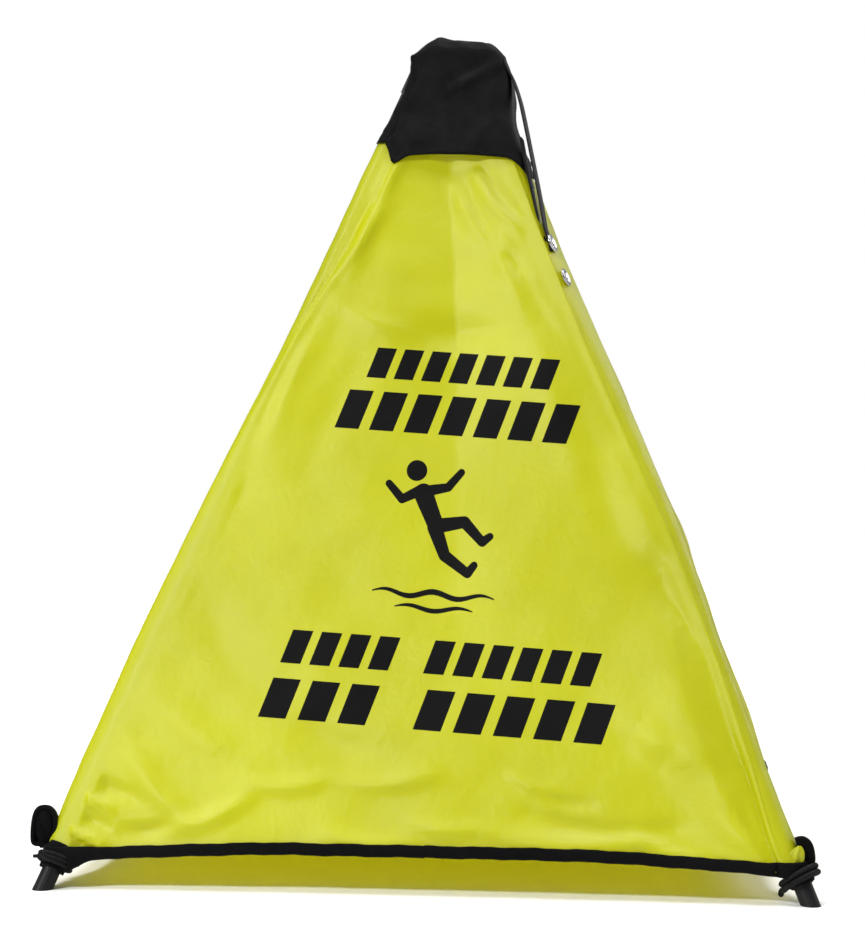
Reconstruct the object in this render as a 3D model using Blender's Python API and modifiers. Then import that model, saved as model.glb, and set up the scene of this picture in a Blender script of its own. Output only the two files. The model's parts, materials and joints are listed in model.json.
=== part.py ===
"""A pop-up fabric safety cone: a four-sided cover over four sprung folding legs.

Metres, +Z up. The origin is on the floor under the middle of the cone, and the front faces -Y.
The axes of the four legs meet at one point above the cap. Each leg hangs on a pin in a moulded
hub under the cap, and a torsion spring pushes it outward until the cover is taut.
"""

import math

import bmesh
import bpy
from mathutils import Matrix, Vector

# ---------------------------------------------------------------- driving dimensions
FOOT_SPACING = 0.435        # between neighbouring leg axes, on the floor
APEX_HEIGHT = 0.538         # where the four leg axes would meet
OVERALL_HEIGHT = 0.508
PIVOT_HEIGHT = 0.490        # leg pins
FIT_GAP = 0.0003            # between touching pieces

TUBE_RADIUS = 0.0045
TUBE_BORE = 0.0026
TIP_RADIUS = 0.0054
FABRIC = 0.0006             # leg sleeve wall
PANEL_THICKNESS = 0.0008
CAP_THICKNESS = 0.0010
TAPE_THICKNESS = 0.0016

HUB_HALF = 0.025
HUB_BOTTOM = PIVOT_HEIGHT - 0.009
HUB_TOP = PIVOT_HEIGHT + 0.0065
HUB_ROUNDING = 0.002
SLOT_WIDTH = 0.009
SLOT_ROOT = 0.014           # radius where each slot ends
SLOT_REACH = 0.060          # length and height of the cutter, well past the hub
PIN_RADIUS = 0.0015
PIN_LENGTH = 0.014
PIN_BORE_LENGTH = 0.026
COVER_PLATE = 0.0025
COVER_ROUNDING = 0.001
SCREW_RADIUS = 0.0020
SCREW_HEAD = 0.0042
SCREW_HEAD_HEIGHT = 0.0018
SCREW_DEPTH = 0.0135        # hub top to the screw's point
SCREW_TAPER = 0.0015
SCREW_BORE_DEPTH = 0.015

TONGUE_THICKNESS = 0.0042
TONGUE_NECK = 0.0036        # half its width below the eye
TONGUE_ROOT = 0.002         # how far the tongue runs into the collar
EYE_RADIUS = 0.0046
COLLAR_DROP = 0.017         # pin to the top of the leg's collar
TUBE_DROP = 0.022           # pin to the top of the tube
SPIGOT_LENGTH = 0.023
COLLAR_EDGE = 0.0008
COIL_RADIUS = 0.0030
WIRE_RADIUS = 0.00045
COIL_TURNS = 3
COIL_STEPS = 12             # points in each turn
COIL_START = 0.00095        # from the leg's middle, along the pin
COIL_PITCH = 2.15 * WIRE_RADIUS
SPRING_ARM_UP = 0.006
SPRING_ARM_DOWN = 0.010

TIP_LENGTH = 0.026
TIP_FLOOR = 0.0077          # solid end of each tip, along the leg
TIE_START = 0.016           # along the leg from the floor
TIE_STRAND = 0.0033
TIE_STRANDS = 3
TIE_CORE = 0.0012           # cord under the strands
SLEEVE_START = 0.027
SLEEVE_TOP_DROP = 0.030     # pin to the top of the sleeve
EAR_HEIGHT = 0.022
EAR_WIDTH = 0.014
EAR_START = 0.0275
EAR_ROUNDING = 0.006

PANEL_EDGE_INSET = 0.0075   # panel edge to the leg axis, clear of the ties
PANEL_TOP = 0.455
HEM_HEIGHT = 0.013          # lower edge of the hem beside the legs
HEM_BOW = 0.009             # the hem rises this far at mid-span
HEM_WIDTH = 0.0075

CAP_HEM = 0.437
CAP_SHOULDER = 0.5020
CAP_SHOULDER_HALF = 0.0275
CAP_TOP_ROUNDING = 0.003

SNAP_RADIUS = 0.006
SNAP_FLANGE = 0.0008
SNAP_EDGE = 0.0003
SNAP_BORE = 0.0026
SNAP_STUD = ((0, 0.0034), (0.0014, 0.0033), (0.0022, 0.0026), (0.0020, SNAP_FLANGE))  # radius, height
SOCKET_HEIGHT = 0.0030
SOCKET_SHOULDER = 0.0022
SNAP_FACING = math.radians(-10)     # off the corner's diagonal, towards the front
SNAP_HEIGHTS = (0.377, 0.356)
STRAP_WIDTH = 0.010
STRAP_THICKNESS = 0.0012
STRAP_TOP = (0.0365, -0.0240, 0.4985)
STRAP_END = (0.3880, 0.0084)        # height, and distance from the leg's axis
STRAP_LINING = (0.8, 0.6)           # inner run's width and thickness against the outer run's
STRAP_LINING_TOP = (0.0520, -0.0460)
STRAP_LINING_END = (0.4000, 0.0073)

ROUND_SIDES = 20

# ---------------------------------------------------------------- worked-out geometry
FOOT_HALF = FOOT_SPACING / 2
FOOT_RADIUS = FOOT_HALF * math.sqrt(2)
LEAN = math.atan2(FOOT_RADIUS, APEX_HEIGHT)
PIVOT_RADIUS = FOOT_RADIUS * (1 - PIVOT_HEIGHT / APEX_HEIGHT)
LEG_LENGTH = PIVOT_HEIGHT / math.cos(LEAN)
PANEL_TILT = math.atan2(FOOT_HALF, APEX_HEIGHT)
PANEL_SLOPE = math.hypot(FOOT_HALF, APEX_HEIGHT)

SLEEVE_INNER = TUBE_RADIUS + FIT_GAP
SLEEVE_RADIUS = SLEEVE_INNER + FABRIC
PANEL_OFFSET = SLEEVE_RADIUS + FIT_GAP
CAP_OFFSET = PANEL_OFFSET + PANEL_THICKNESS + FIT_GAP

CORNERS = {"front_right": -45, "back_right": 45, "back_left": 135, "front_left": -135}
SIDES = {"front": -90, "right": 0, "back": 90, "left": 180}


def half_spacing(height):
    """Half the distance between neighbouring leg axes at a height."""
    return FOOT_HALF * (1 - height / APEX_HEIGHT)


# ---------------------------------------------------------------- scene and materials
def clear_scene():
    for obj in list(bpy.data.objects):
        bpy.data.objects.remove(obj, do_unlink=True)


def new_collection(name):
    collection = bpy.data.collections.new(name)
    bpy.context.scene.collection.children.link(collection)
    return collection


def new_material(name, colour, roughness, metallic=0.0):
    material = bpy.data.materials.new(name)
    material.use_nodes = True
    shader = material.node_tree.nodes["Principled BSDF"]
    shader.inputs["Base Color"].default_value = (*colour, 1.0)
    shader.inputs["Roughness"].default_value = roughness
    shader.inputs["Metallic"].default_value = metallic
    return material


clear_scene()
PARTS = new_collection("safety_cone")
CUTTERS = new_collection("cutters")

HI_VIS = new_material("hi_vis_nylon", (0.62, 0.72, 0.02), 0.55)
BLACK_NYLON = new_material("black_nylon", (0.015, 0.015, 0.017), 0.6)
BLACK_TAPE = new_material("black_tape", (0.02, 0.02, 0.02), 0.7)
BLACK_PLASTIC = new_material("black_plastic", (0.02, 0.02, 0.022), 0.4)
LEG_COAT = new_material("leg_coat", (0.03, 0.03, 0.032), 0.35)
STEEL = new_material("steel", (0.55, 0.55, 0.56), 0.3, 1.0)


def place(obj, name, material=None, matrix=None, parent=None):
    """Name an object, put it in the right collection and set it at a matrix (under its parent)."""
    obj.name = name
    obj.data.name = name
    for collection in list(obj.users_collection):
        collection.objects.unlink(obj)
    if material is None:
        CUTTERS.objects.link(obj)
        obj.hide_render = True
        obj.display_type = "WIRE"
    else:
        PARTS.objects.link(obj)
        obj.data.materials.append(material)
    if parent is not None:
        obj.parent = parent
    if matrix is not None:
        obj.matrix_local = matrix
    return obj


def smooth(obj, angle=35):
    obj.data.shade_smooth()
    obj.data.set_sharp_from_angle(angle=math.radians(angle))
    return obj


def cut(obj, tool, operation="DIFFERENCE"):
    modifier = obj.modifiers.new(tool.name, "BOOLEAN")
    modifier.operation = operation
    modifier.object = tool


# ---------------------------------------------------------------- shape helpers
def block(size, centre=(0, 0, 0)):
    """A box of the given size about a centre."""
    mesh = bpy.data.meshes.new("block")
    shape = bmesh.new()
    bmesh.ops.create_cube(shape, size=1.0)
    bmesh.ops.scale(shape, vec=size, verts=shape.verts)
    bmesh.ops.translate(shape, vec=centre, verts=shape.verts)
    shape.to_mesh(mesh)
    shape.free()
    return bpy.data.objects.new("block", mesh)


def rod(radius, length, sides=ROUND_SIDES):
    """A round rod along Z about the origin."""
    mesh = bpy.data.meshes.new("rod")
    shape = bmesh.new()
    bmesh.ops.create_cone(
        shape, cap_ends=True, segments=sides, radius1=radius, radius2=radius, depth=length)
    shape.to_mesh(mesh)
    shape.free()
    return bpy.data.objects.new("rod", mesh)


def turned(profile, sides=ROUND_SIDES):
    """A profile of (radius, height) points, from the top down its outer side, spun about Z."""
    mesh = bpy.data.meshes.new("turned")
    edges = [(i, i + 1) for i in range(len(profile) - 1)]
    if profile[0][0] > 0:
        edges.append((len(profile) - 1, 0))
    mesh.from_pydata([(radius, 0, height) for radius, height in profile], edges, [])
    obj = bpy.data.objects.new("turned", mesh)
    screw = obj.modifiers.new("Screw", "SCREW")
    screw.axis = "Z"
    screw.steps = sides
    screw.render_steps = sides
    screw.use_merge_vertices = True
    screw.merge_threshold = 0.00001
    screw.use_smooth_shade = True
    return obj


def plate(outline, thickness, holes=()):
    """A flat outline in X and Y, centred on Z, with straight edges between its points."""
    curve = bpy.data.curves.new("plate", "CURVE")
    curve.dimensions = "2D"
    curve.fill_mode = "BOTH"
    curve.extrude = thickness / 2
    for ring in (outline, *holes):
        spline = curve.splines.new("POLY")
        spline.points.add(len(ring) - 1)
        for point, (x, y) in zip(spline.points, ring):
            point.co = (x, y, 0, 1)
        spline.use_cyclic_u = True
    return bpy.data.objects.new("plate", curve)


def solid_from(curve_object):
    """A curve object as a welded mesh object, so that it can be joined or cut."""
    CUTTERS.objects.link(curve_object)
    bpy.context.view_layer.update()
    evaluated = curve_object.evaluated_get(bpy.context.evaluated_depsgraph_get())
    mesh = bpy.data.meshes.new_from_object(evaluated)
    shape = bmesh.new()
    shape.from_mesh(mesh)
    bmesh.ops.remove_doubles(shape, verts=shape.verts, dist=0.00001)
    shape.to_mesh(mesh)
    shape.free()
    result = bpy.data.objects.new("solid", mesh)
    result.matrix_world = curve_object.matrix_world
    bpy.data.objects.remove(curve_object, do_unlink=True)
    return result


def circle(radius, count, centre=(0, 0)):
    """Points round a circle."""
    angles = [2 * math.pi * i / count for i in range(count)]
    return [(centre[0] + radius * math.cos(a), centre[1] + radius * math.sin(a)) for a in angles]


def wire(points, radius):
    """A round wire through a list of points."""
    curve = bpy.data.curves.new("wire", "CURVE")
    curve.dimensions = "3D"
    curve.bevel_depth = radius
    curve.bevel_resolution = 2
    curve.use_fill_caps = True
    spline = curve.splines.new("POLY")
    spline.points.add(len(points) - 1)
    for point, position in zip(spline.points, points):
        point.co = (*position, 1)
    return bpy.data.objects.new("wire", curve)


# ---------------------------------------------------------------- frames
def corner_matrix(azimuth_deg):
    """A leg's frame: origin on its pin, +Y along the pin, -Z down the leg."""
    azimuth = math.radians(azimuth_deg)
    pivot = Vector((PIVOT_RADIUS * math.cos(azimuth), PIVOT_RADIUS * math.sin(azimuth), PIVOT_HEIGHT))
    turn = Matrix.Rotation(azimuth, 4, "Z")
    lean = Matrix.Rotation(-LEAN, 4, "Y")
    return Matrix.Translation(pivot) @ turn @ lean


def upright_matrix(azimuth_deg):
    """A corner's frame without the leg's lean: +Y along the pin, +Z up."""
    azimuth = math.radians(azimuth_deg)
    pivot = Vector((PIVOT_RADIUS * math.cos(azimuth), PIVOT_RADIUS * math.sin(azimuth), PIVOT_HEIGHT))
    return Matrix.Translation(pivot) @ Matrix.Rotation(azimuth, 4, "Z")


def face_matrix(azimuth_deg, tilt, distance, height, offset):
    """A side's frame: +X level along the side, +Y up its slope, +Z out of it.

    The side passes through a level line at the distance and height given, and the frame
    stands the offset outside it.
    """
    turn = Matrix.Rotation(math.radians(azimuth_deg + 90), 4, "Z")
    stand = Matrix.Rotation(math.pi / 2 - tilt, 4, "X")
    base = Matrix.Translation((0, -distance, height))
    return turn @ base @ stand @ Matrix.Translation((0, 0, offset))


# ---------------------------------------------------------------- hub, in the cap
def make_hub():
    hub = place(block((2 * HUB_HALF, 2 * HUB_HALF, HUB_TOP - HUB_BOTTOM),
                      (0, 0, (HUB_TOP + HUB_BOTTOM) / 2)), "hub_body", BLACK_PLASTIC)
    bevel = hub.modifiers.new("Bevel", "BEVEL")
    bevel.width = HUB_ROUNDING
    bevel.segments = 2
    for corner, azimuth in CORNERS.items():
        upright = upright_matrix(azimuth)
        inward = PIVOT_RADIUS - SLOT_ROOT
        slot = block((SLOT_REACH, SLOT_WIDTH, SLOT_REACH), (SLOT_REACH / 2 - inward, 0, 0))
        cut(hub, place(slot, f"slot_{corner}", matrix=upright))
        bore = rod(PIN_RADIUS + FIT_GAP, PIN_BORE_LENGTH)
        turn = Matrix.Rotation(math.pi / 2, 4, "X")
        cut(hub, place(bore, f"pin_bore_{corner}", matrix=upright @ turn))
    screw_hole = rod(SCREW_RADIUS + FIT_GAP, 2 * SCREW_BORE_DEPTH)
    cut(hub, place(screw_hole, "screw_hole", matrix=Matrix.Translation((0, 0, HUB_TOP))))

    plate_low = HUB_TOP + FIT_GAP
    plate_top = plate_low + COVER_PLATE
    cover = place(block((2 * HUB_HALF, 2 * HUB_HALF, COVER_PLATE), (0, 0, (plate_low + plate_top) / 2)),
                  "hub_cover", BLACK_PLASTIC)
    edge = cover.modifiers.new("Bevel", "BEVEL")
    edge.width = COVER_ROUNDING
    edge.segments = 2
    cover_hole = rod(SCREW_RADIUS + FIT_GAP, 8 * COVER_PLATE)
    cut(cover, place(cover_hole, "cover_hole", matrix=Matrix.Translation((0, 0, plate_top))))

    head_low = plate_top + FIT_GAP
    head_top = head_low + SCREW_HEAD_HEIGHT
    point = HUB_TOP - SCREW_DEPTH
    place(turned([
        (0, head_top), (SCREW_HEAD * 0.6, head_top - 0.0002), (SCREW_HEAD, head_low + 0.0007),
        (SCREW_HEAD, head_low), (SCREW_RADIUS, head_low), (SCREW_RADIUS, point + SCREW_TAPER),
        (SCREW_RADIUS * 0.6, point), (0, point),
    ]), "hub_screw", STEEL)


def spring_points():
    """A torsion spring about the Y axis: an arm down to the coil, the turns and an arm on down the leg."""
    coil = []
    for i in range(COIL_STEPS * COIL_TURNS + 1):
        angle = math.pi + 2 * math.pi * i / COIL_STEPS
        along = COIL_START + COIL_PITCH * i / COIL_STEPS
        coil.append((COIL_RADIUS * math.cos(angle), along, COIL_RADIUS * math.sin(angle)))
    upper_arm = (-COIL_RADIUS, COIL_START, SPRING_ARM_UP)
    lower_arm = (-COIL_RADIUS, COIL_START + COIL_PITCH * COIL_TURNS, -SPRING_ARM_DOWN)
    return [upper_arm, *coil, lower_arm]


def make_pivots():
    for corner, azimuth in CORNERS.items():
        turn = Matrix.Rotation(math.pi / 2, 4, "X")
        pin = place(rod(PIN_RADIUS, PIN_LENGTH), f"pivot_pin_{corner}", STEEL, upright_matrix(azimuth) @ turn)
        smooth(pin)
        place(wire(spring_points(), WIRE_RADIUS), f"leg_spring_{corner}", STEEL, corner_matrix(azimuth))


# ---------------------------------------------------------------- legs
def tongue_outline():
    """The tongue seen along the pin: a round eye on a straight neck that runs into the collar."""
    foot = -(COLLAR_DROP + TONGUE_ROOT)
    start = math.asin(TONGUE_NECK / EYE_RADIUS) - math.pi / 2
    sweep = 2 * (math.pi - math.asin(TONGUE_NECK / EYE_RADIUS))
    eye = [(EYE_RADIUS * math.cos(start + sweep * i / 16), EYE_RADIUS * math.sin(start + sweep * i / 16))
           for i in range(17)]
    return [(-TONGUE_NECK, foot), (TONGUE_NECK, foot), *eye]


def make_fitting(corner, pivot):
    """The eye and tongue at a leg's top, on a collar and a spigot that plugs the tube."""
    collar_low = -(TUBE_DROP - FIT_GAP)
    fitting = place(turned([
        (0, -COLLAR_DROP), (TUBE_RADIUS - COLLAR_EDGE, -COLLAR_DROP), (TUBE_RADIUS, -COLLAR_DROP - COLLAR_EDGE),
        (TUBE_RADIUS, collar_low), (TUBE_BORE - FIT_GAP, collar_low),
        (TUBE_BORE - FIT_GAP, collar_low - SPIGOT_LENGTH), (0, collar_low - SPIGOT_LENGTH),
    ]), f"leg_fitting_{corner}", BLACK_PLASTIC, parent=pivot)
    tongue = solid_from(plate(tongue_outline(), TONGUE_THICKNESS, [circle(PIN_RADIUS + FIT_GAP, 16)]))
    beside_spring = -(SLOT_WIDTH / 2 - FIT_GAP - TONGUE_THICKNESS / 2)
    matrix = Matrix.Translation((0, beside_spring, 0)) @ Matrix.Rotation(math.pi / 2, 4, "X")
    cut(fitting, place(tongue, f"tongue_{corner}", matrix=matrix, parent=pivot), "UNION")


def tie_profile():
    """Three strands of cord side by side round the leg."""
    inner = TIP_RADIUS + FIT_GAP
    start = -LEG_LENGTH + TIE_START
    bulge = 0.5 * TIE_STRAND
    outer = []
    for strand in range(TIE_STRANDS):
        middle = start + TIE_STRAND * (strand + 0.5)
        for i in range(5):
            angle = -math.pi / 2 + math.pi * i / 4
            outer.append((inner + TIE_CORE + bulge * math.cos(angle), middle + 0.98 * bulge * math.sin(angle)))
    outer.reverse()
    return [*outer, (inner, start), (inner, start + TIE_STRAND * TIE_STRANDS)]


def ear_outline():
    """The folded tape end seen from the side: a tab with a rounded outer end."""
    across = EAR_WIDTH - EAR_ROUNDING
    corners = [(across, EAR_HEIGHT - EAR_ROUNDING), (across, EAR_ROUNDING)]
    arcs = []
    for index, (x, y) in enumerate(corners):
        first = math.pi / 2 * (1 - index)
        for i in range(5):
            angle = first - math.pi / 8 * i
            arcs.append((x + EAR_ROUNDING * math.cos(angle), y + EAR_ROUNDING * math.sin(angle)))
    return [(0, EAR_HEIGHT), *arcs, (0, 0)]


def make_leg(corner, azimuth, floor_cutter):
    pivot = bpy.data.objects.new(f"pivot_{corner}", None)
    PARTS.objects.link(pivot)
    pivot.matrix_world = corner_matrix(azimuth)
    make_fitting(corner, pivot)

    tube_end = -(LEG_LENGTH - TIP_FLOOR - FIT_GAP)
    place(turned([(TUBE_RADIUS, -TUBE_DROP), (TUBE_RADIUS, tube_end), (TUBE_BORE, tube_end),
                  (TUBE_BORE, -TUBE_DROP)]), f"leg_tube_{corner}", LEG_COAT, parent=pivot)

    tip_top = -(LEG_LENGTH - TIP_LENGTH)
    cup_floor = -(LEG_LENGTH - TIP_FLOOR)
    cup = TUBE_RADIUS + FIT_GAP
    tip = place(turned([
        (0, cup_floor), (cup, cup_floor), (cup, tip_top), (TIP_RADIUS, tip_top),
        (TIP_RADIUS, -LEG_LENGTH - 0.006), (0, -LEG_LENGTH - 0.006),
    ]), f"foot_tip_{corner}", BLACK_PLASTIC, parent=pivot)
    cut(tip, floor_cutter)

    sleeve_top = -SLEEVE_TOP_DROP
    sleeve_low = -(LEG_LENGTH - SLEEVE_START)
    place(turned([(SLEEVE_RADIUS, sleeve_top), (SLEEVE_RADIUS, sleeve_low), (SLEEVE_INNER, sleeve_low),
                  (SLEEVE_INNER, sleeve_top)]), f"leg_sleeve_{corner}", HI_VIS, parent=pivot)

    place(turned(tie_profile()), f"corner_tie_{corner}", BLACK_TAPE, parent=pivot)

    ear_place = Matrix.Translation((SLEEVE_RADIUS + FIT_GAP, 0, -LEG_LENGTH + EAR_START))
    upright = Matrix.Rotation(math.pi / 2, 4, "X")
    place(plate(ear_outline(), TAPE_THICKNESS), f"corner_ear_{corner}", BLACK_TAPE,
          ear_place @ upright, pivot)
    return pivot


def make_snap(name, pivot, height, profile):
    """A press snap on the front right sleeve, facing out of it."""
    drop = (PIVOT_HEIGHT - height) / math.cos(LEAN)
    matrix = (Matrix.Translation((0, 0, -drop)) @ Matrix.Rotation(SNAP_FACING, 4, "Z")
              @ Matrix.Rotation(math.pi / 2, 4, "Y")
              @ Matrix.Translation((0, 0, SLEEVE_RADIUS + FIT_GAP)))
    smooth(place(turned(profile), name, STEEL, matrix, pivot))


def make_snaps(pivot):
    """Two studs, and the strap's socket pressed over the upper one."""
    rim = SNAP_RADIUS - SNAP_EDGE
    stud = [*SNAP_STUD, (rim, SNAP_FLANGE), (SNAP_RADIUS, SNAP_FLANGE / 2), (rim, 0), (0, 0)]
    socket_low = SNAP_FLANGE + FIT_GAP
    socket = [(SNAP_BORE, SOCKET_HEIGHT), (SNAP_RADIUS - 4 * SNAP_EDGE, SOCKET_HEIGHT),
              (SNAP_RADIUS, SOCKET_SHOULDER), (SNAP_RADIUS, socket_low), (SNAP_BORE, socket_low)]
    make_snap("snap_stud_upper", pivot, SNAP_HEIGHTS[0], stud)
    make_snap("snap_stud_lower", pivot, SNAP_HEIGHTS[1], stud)
    make_snap("snap_socket_strap", pivot, SNAP_HEIGHTS[0], socket)


# ---------------------------------------------------------------- cover
def panel_half(slope_distance):
    """Half a panel's width at a distance up its slope from the floor."""
    return FOOT_HALF * (1 - slope_distance / PANEL_SLOPE) - PANEL_EDGE_INSET


def hem_line(start, count=13):
    """Points from right to left along the hem: it rises at mid-span."""
    half = panel_half(start)
    points = []
    for i in range(count):
        across = 1 - 2 * i / (count - 1)
        points.append((half * across, start + HEM_BOW * (1 - across ** 2)))
    return points


def make_cover():
    hem_low = HEM_HEIGHT / math.cos(PANEL_TILT)
    hem_top = hem_low + HEM_WIDTH
    top = PANEL_TOP / math.cos(PANEL_TILT)
    for side, azimuth in SIDES.items():
        middle = PANEL_OFFSET + PANEL_THICKNESS / 2
        matrix = face_matrix(azimuth, PANEL_TILT, FOOT_HALF, 0, middle)
        lower = hem_line(hem_top + FIT_GAP)
        panel = [*lower, (-panel_half(top), top), (panel_half(top), top)]
        place(plate(panel, PANEL_THICKNESS), f"panel_{side}", HI_VIS, matrix)
        hem = [*hem_line(hem_low), *reversed(hem_line(hem_top))]
        place(plate(hem, TAPE_THICKNESS), f"hem_{side}", BLACK_TAPE,
              face_matrix(azimuth, PANEL_TILT, FOOT_HALF, 0, PANEL_OFFSET + TAPE_THICKNESS / 2))


# ---------------------------------------------------------------- cap
def make_cap():
    hem_half = half_spacing(CAP_HEM) + CAP_OFFSET / math.cos(PANEL_TILT)
    rise = CAP_SHOULDER - CAP_HEM
    tilt = math.atan2(hem_half - CAP_SHOULDER_HALF, rise)
    slope = rise / math.cos(tilt)
    corner_gap = 2 * FIT_GAP
    outline = [(hem_half - corner_gap, 0), (CAP_SHOULDER_HALF - corner_gap, slope),
               (-CAP_SHOULDER_HALF + corner_gap, slope), (-hem_half + corner_gap, 0)]
    for side, azimuth in SIDES.items():
        matrix = face_matrix(azimuth, tilt, hem_half, CAP_HEM, CAP_THICKNESS / 2)
        place(plate(outline, CAP_THICKNESS), f"cap_{side}", BLACK_NYLON, matrix)
    low = CAP_SHOULDER + 2 * FIT_GAP
    top = block((2 * CAP_SHOULDER_HALF, 2 * CAP_SHOULDER_HALF, OVERALL_HEIGHT - low),
                (0, 0, (OVERALL_HEIGHT + low) / 2))
    place(top, "cap_top", BLACK_NYLON)
    bevel = top.modifiers.new("Bevel", "BEVEL")
    bevel.width = CAP_TOP_ROUNDING
    bevel.segments = 3


# ---------------------------------------------------------------- strap
def ribbon(name, start, end, facing, width, thickness):
    """A flat band between two points, turned to face a direction."""
    along = (end - start).normalized()
    normal = (facing - facing.dot(along) * along).normalized()
    across = along.cross(normal)
    turn = Matrix((across, along, normal)).transposed().to_4x4()
    length = (end - start).length
    outline = [(width / 2, 0), (width / 2, length), (-width / 2, length), (-width / 2, 0)]
    place(plate(outline, thickness), name, BLACK_TAPE, Matrix.Translation(start) @ turn)


def beside_leg(height, distance):
    """A point beside the front right leg, out from its axis the way the snaps face."""
    azimuth = math.radians(CORNERS["front_right"]) + SNAP_FACING
    half = half_spacing(height)
    return Vector((half + distance * math.cos(azimuth), -half + distance * math.sin(azimuth), height))


def make_strap():
    """The strap's two runs from the cap to the upper stud."""
    azimuth = math.radians(CORNERS["front_right"]) + SNAP_FACING
    facing = Vector((math.cos(azimuth), math.sin(azimuth), 0))
    ribbon("strap_outer", Vector(STRAP_TOP), beside_leg(*STRAP_END), facing, STRAP_WIDTH, STRAP_THICKNESS)
    under_hem = Vector((*STRAP_LINING_TOP, CAP_HEM - 0.001))
    ribbon("strap_inner", under_hem, beside_leg(*STRAP_LINING_END), facing,
           STRAP_WIDTH * STRAP_LINING[0], STRAP_THICKNESS * STRAP_LINING[1])


# ---------------------------------------------------------------- assembly
make_hub()
make_pivots()
floor_cutter = place(block((1.0, 1.0, 0.1), (0, 0, -0.05)), "floor_cutter")
pivots = {corner: make_leg(corner, azimuth, floor_cutter) for corner, azimuth in CORNERS.items()}
make_snaps(pivots["front_right"])
make_cover()
make_cap()
make_strap()
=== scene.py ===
"""Looks of the pop-up floor cone: sewn nylon cover, black cap, tape, cords, strap and snaps.

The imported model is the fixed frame. Every length is in metres. A side of the cover has its own
coordinates, seen from outside: x to the right from the side's middle, d outward from the cone's
axis, z up. The four sides are front (-Y), right (+X), back (+Y) and left (-X).
"""

import json
import math
import random

import bpy
import numpy as np
from mathutils import Matrix, Vector
from mathutils.geometry import delaunay_2d_cdt
from mathutils.kdtree import KDTree


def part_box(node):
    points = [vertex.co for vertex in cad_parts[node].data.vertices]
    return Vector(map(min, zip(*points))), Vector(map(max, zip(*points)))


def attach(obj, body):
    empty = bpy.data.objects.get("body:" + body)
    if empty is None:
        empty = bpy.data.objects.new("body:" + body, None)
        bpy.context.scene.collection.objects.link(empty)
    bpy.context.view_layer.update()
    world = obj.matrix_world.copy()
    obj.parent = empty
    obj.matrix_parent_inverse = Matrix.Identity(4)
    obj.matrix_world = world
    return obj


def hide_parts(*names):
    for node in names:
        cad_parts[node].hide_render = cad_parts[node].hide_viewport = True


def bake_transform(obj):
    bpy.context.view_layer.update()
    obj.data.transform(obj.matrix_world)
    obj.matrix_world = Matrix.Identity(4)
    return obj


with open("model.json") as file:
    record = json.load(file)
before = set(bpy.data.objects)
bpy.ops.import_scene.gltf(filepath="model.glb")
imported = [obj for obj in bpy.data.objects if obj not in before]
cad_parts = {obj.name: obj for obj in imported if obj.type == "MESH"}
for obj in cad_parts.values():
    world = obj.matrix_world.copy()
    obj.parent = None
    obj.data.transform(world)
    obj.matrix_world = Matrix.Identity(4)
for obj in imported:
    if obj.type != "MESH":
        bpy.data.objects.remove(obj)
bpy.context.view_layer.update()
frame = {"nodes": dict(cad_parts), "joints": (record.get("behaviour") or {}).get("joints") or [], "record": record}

HUB = "cover_and_hub"
SIDES = ("front", "right", "back", "left")
AZIMUTHS = {"front": -90, "right": 0, "back": 90, "left": 180}
# The corner at the right-hand end of each side, seen from outside.
CORNERS = {"front": "front_right", "right": "back_right", "back": "back_left", "left": "front_left"}


# ------------------------------------------------------------------ sizes taken from the frame


def mount(name):
    return next(m for m in frame["record"]["mounts"] if m["name"] == name)


def joint(name):
    return next(j for j in frame["joints"] if j["name"] == name)


FOOT = abs(mount("foot_front_right")["pos_m"][0])
PIVOT = abs(joint("leg_fold_front_right")["pos_m"][0])
PIVOT_Z = joint("leg_fold_front_right")["pos_m"][2]
APEX = PIVOT_Z * FOOT / (FOOT - PIVOT)
PANEL_TOP = 0.450


def half(z):
    """Distance of a leg's axis from the middle of a side at height z."""
    return FOOT * (1 - z / APEX)


def curve(z, heights, values):
    """Smooth curve through a few values given at rising heights."""
    z = np.asarray(z, float)
    t = np.interp(z, heights, np.arange(len(heights)))
    i = np.clip(np.floor(t).astype(int), 0, len(heights) - 2)
    f = t - i
    values = np.asarray(values, float)
    slopes = np.gradient(values, heights)
    step = np.asarray(heights, float)[i + 1] - np.asarray(heights, float)[i]
    a, b = values[i], values[i + 1]
    ma, mb = slopes[i] * step, slopes[i + 1] * step
    return (
        a * (2 * f**3 - 3 * f**2 + 1)
        + ma * (f**3 - 2 * f**2 + f)
        + b * (-2 * f**3 + 3 * f**2)
        + mb * (f**3 - f**2)
    )


def smoothstep(a, b, x):
    t = np.clip((np.asarray(x, float) - a) / (b - a), 0, 1)
    return t * t * (3 - 2 * t)


def bell(x, width):
    """A smooth hump, 1 in the middle."""
    return np.exp(-((x / width) ** 2))


def unit(v):
    return v / np.linalg.norm(v)


def full_turn(steps):
    """Angles of a full turn in equal steps."""
    return [2 * math.pi * i / steps for i in range(steps)]


UP = np.array([0.0, 0.0, 1.0])

# ------------------------------------------------------------------ shape of the cover

# Heights that the tables of the cover give a value for.
HEIGHTS = (0.015, 0.030, 0.050, 0.080, 0.110, 0.150, 0.200, 0.255, 0.320, 0.380, 0.425, 0.460)
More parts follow.
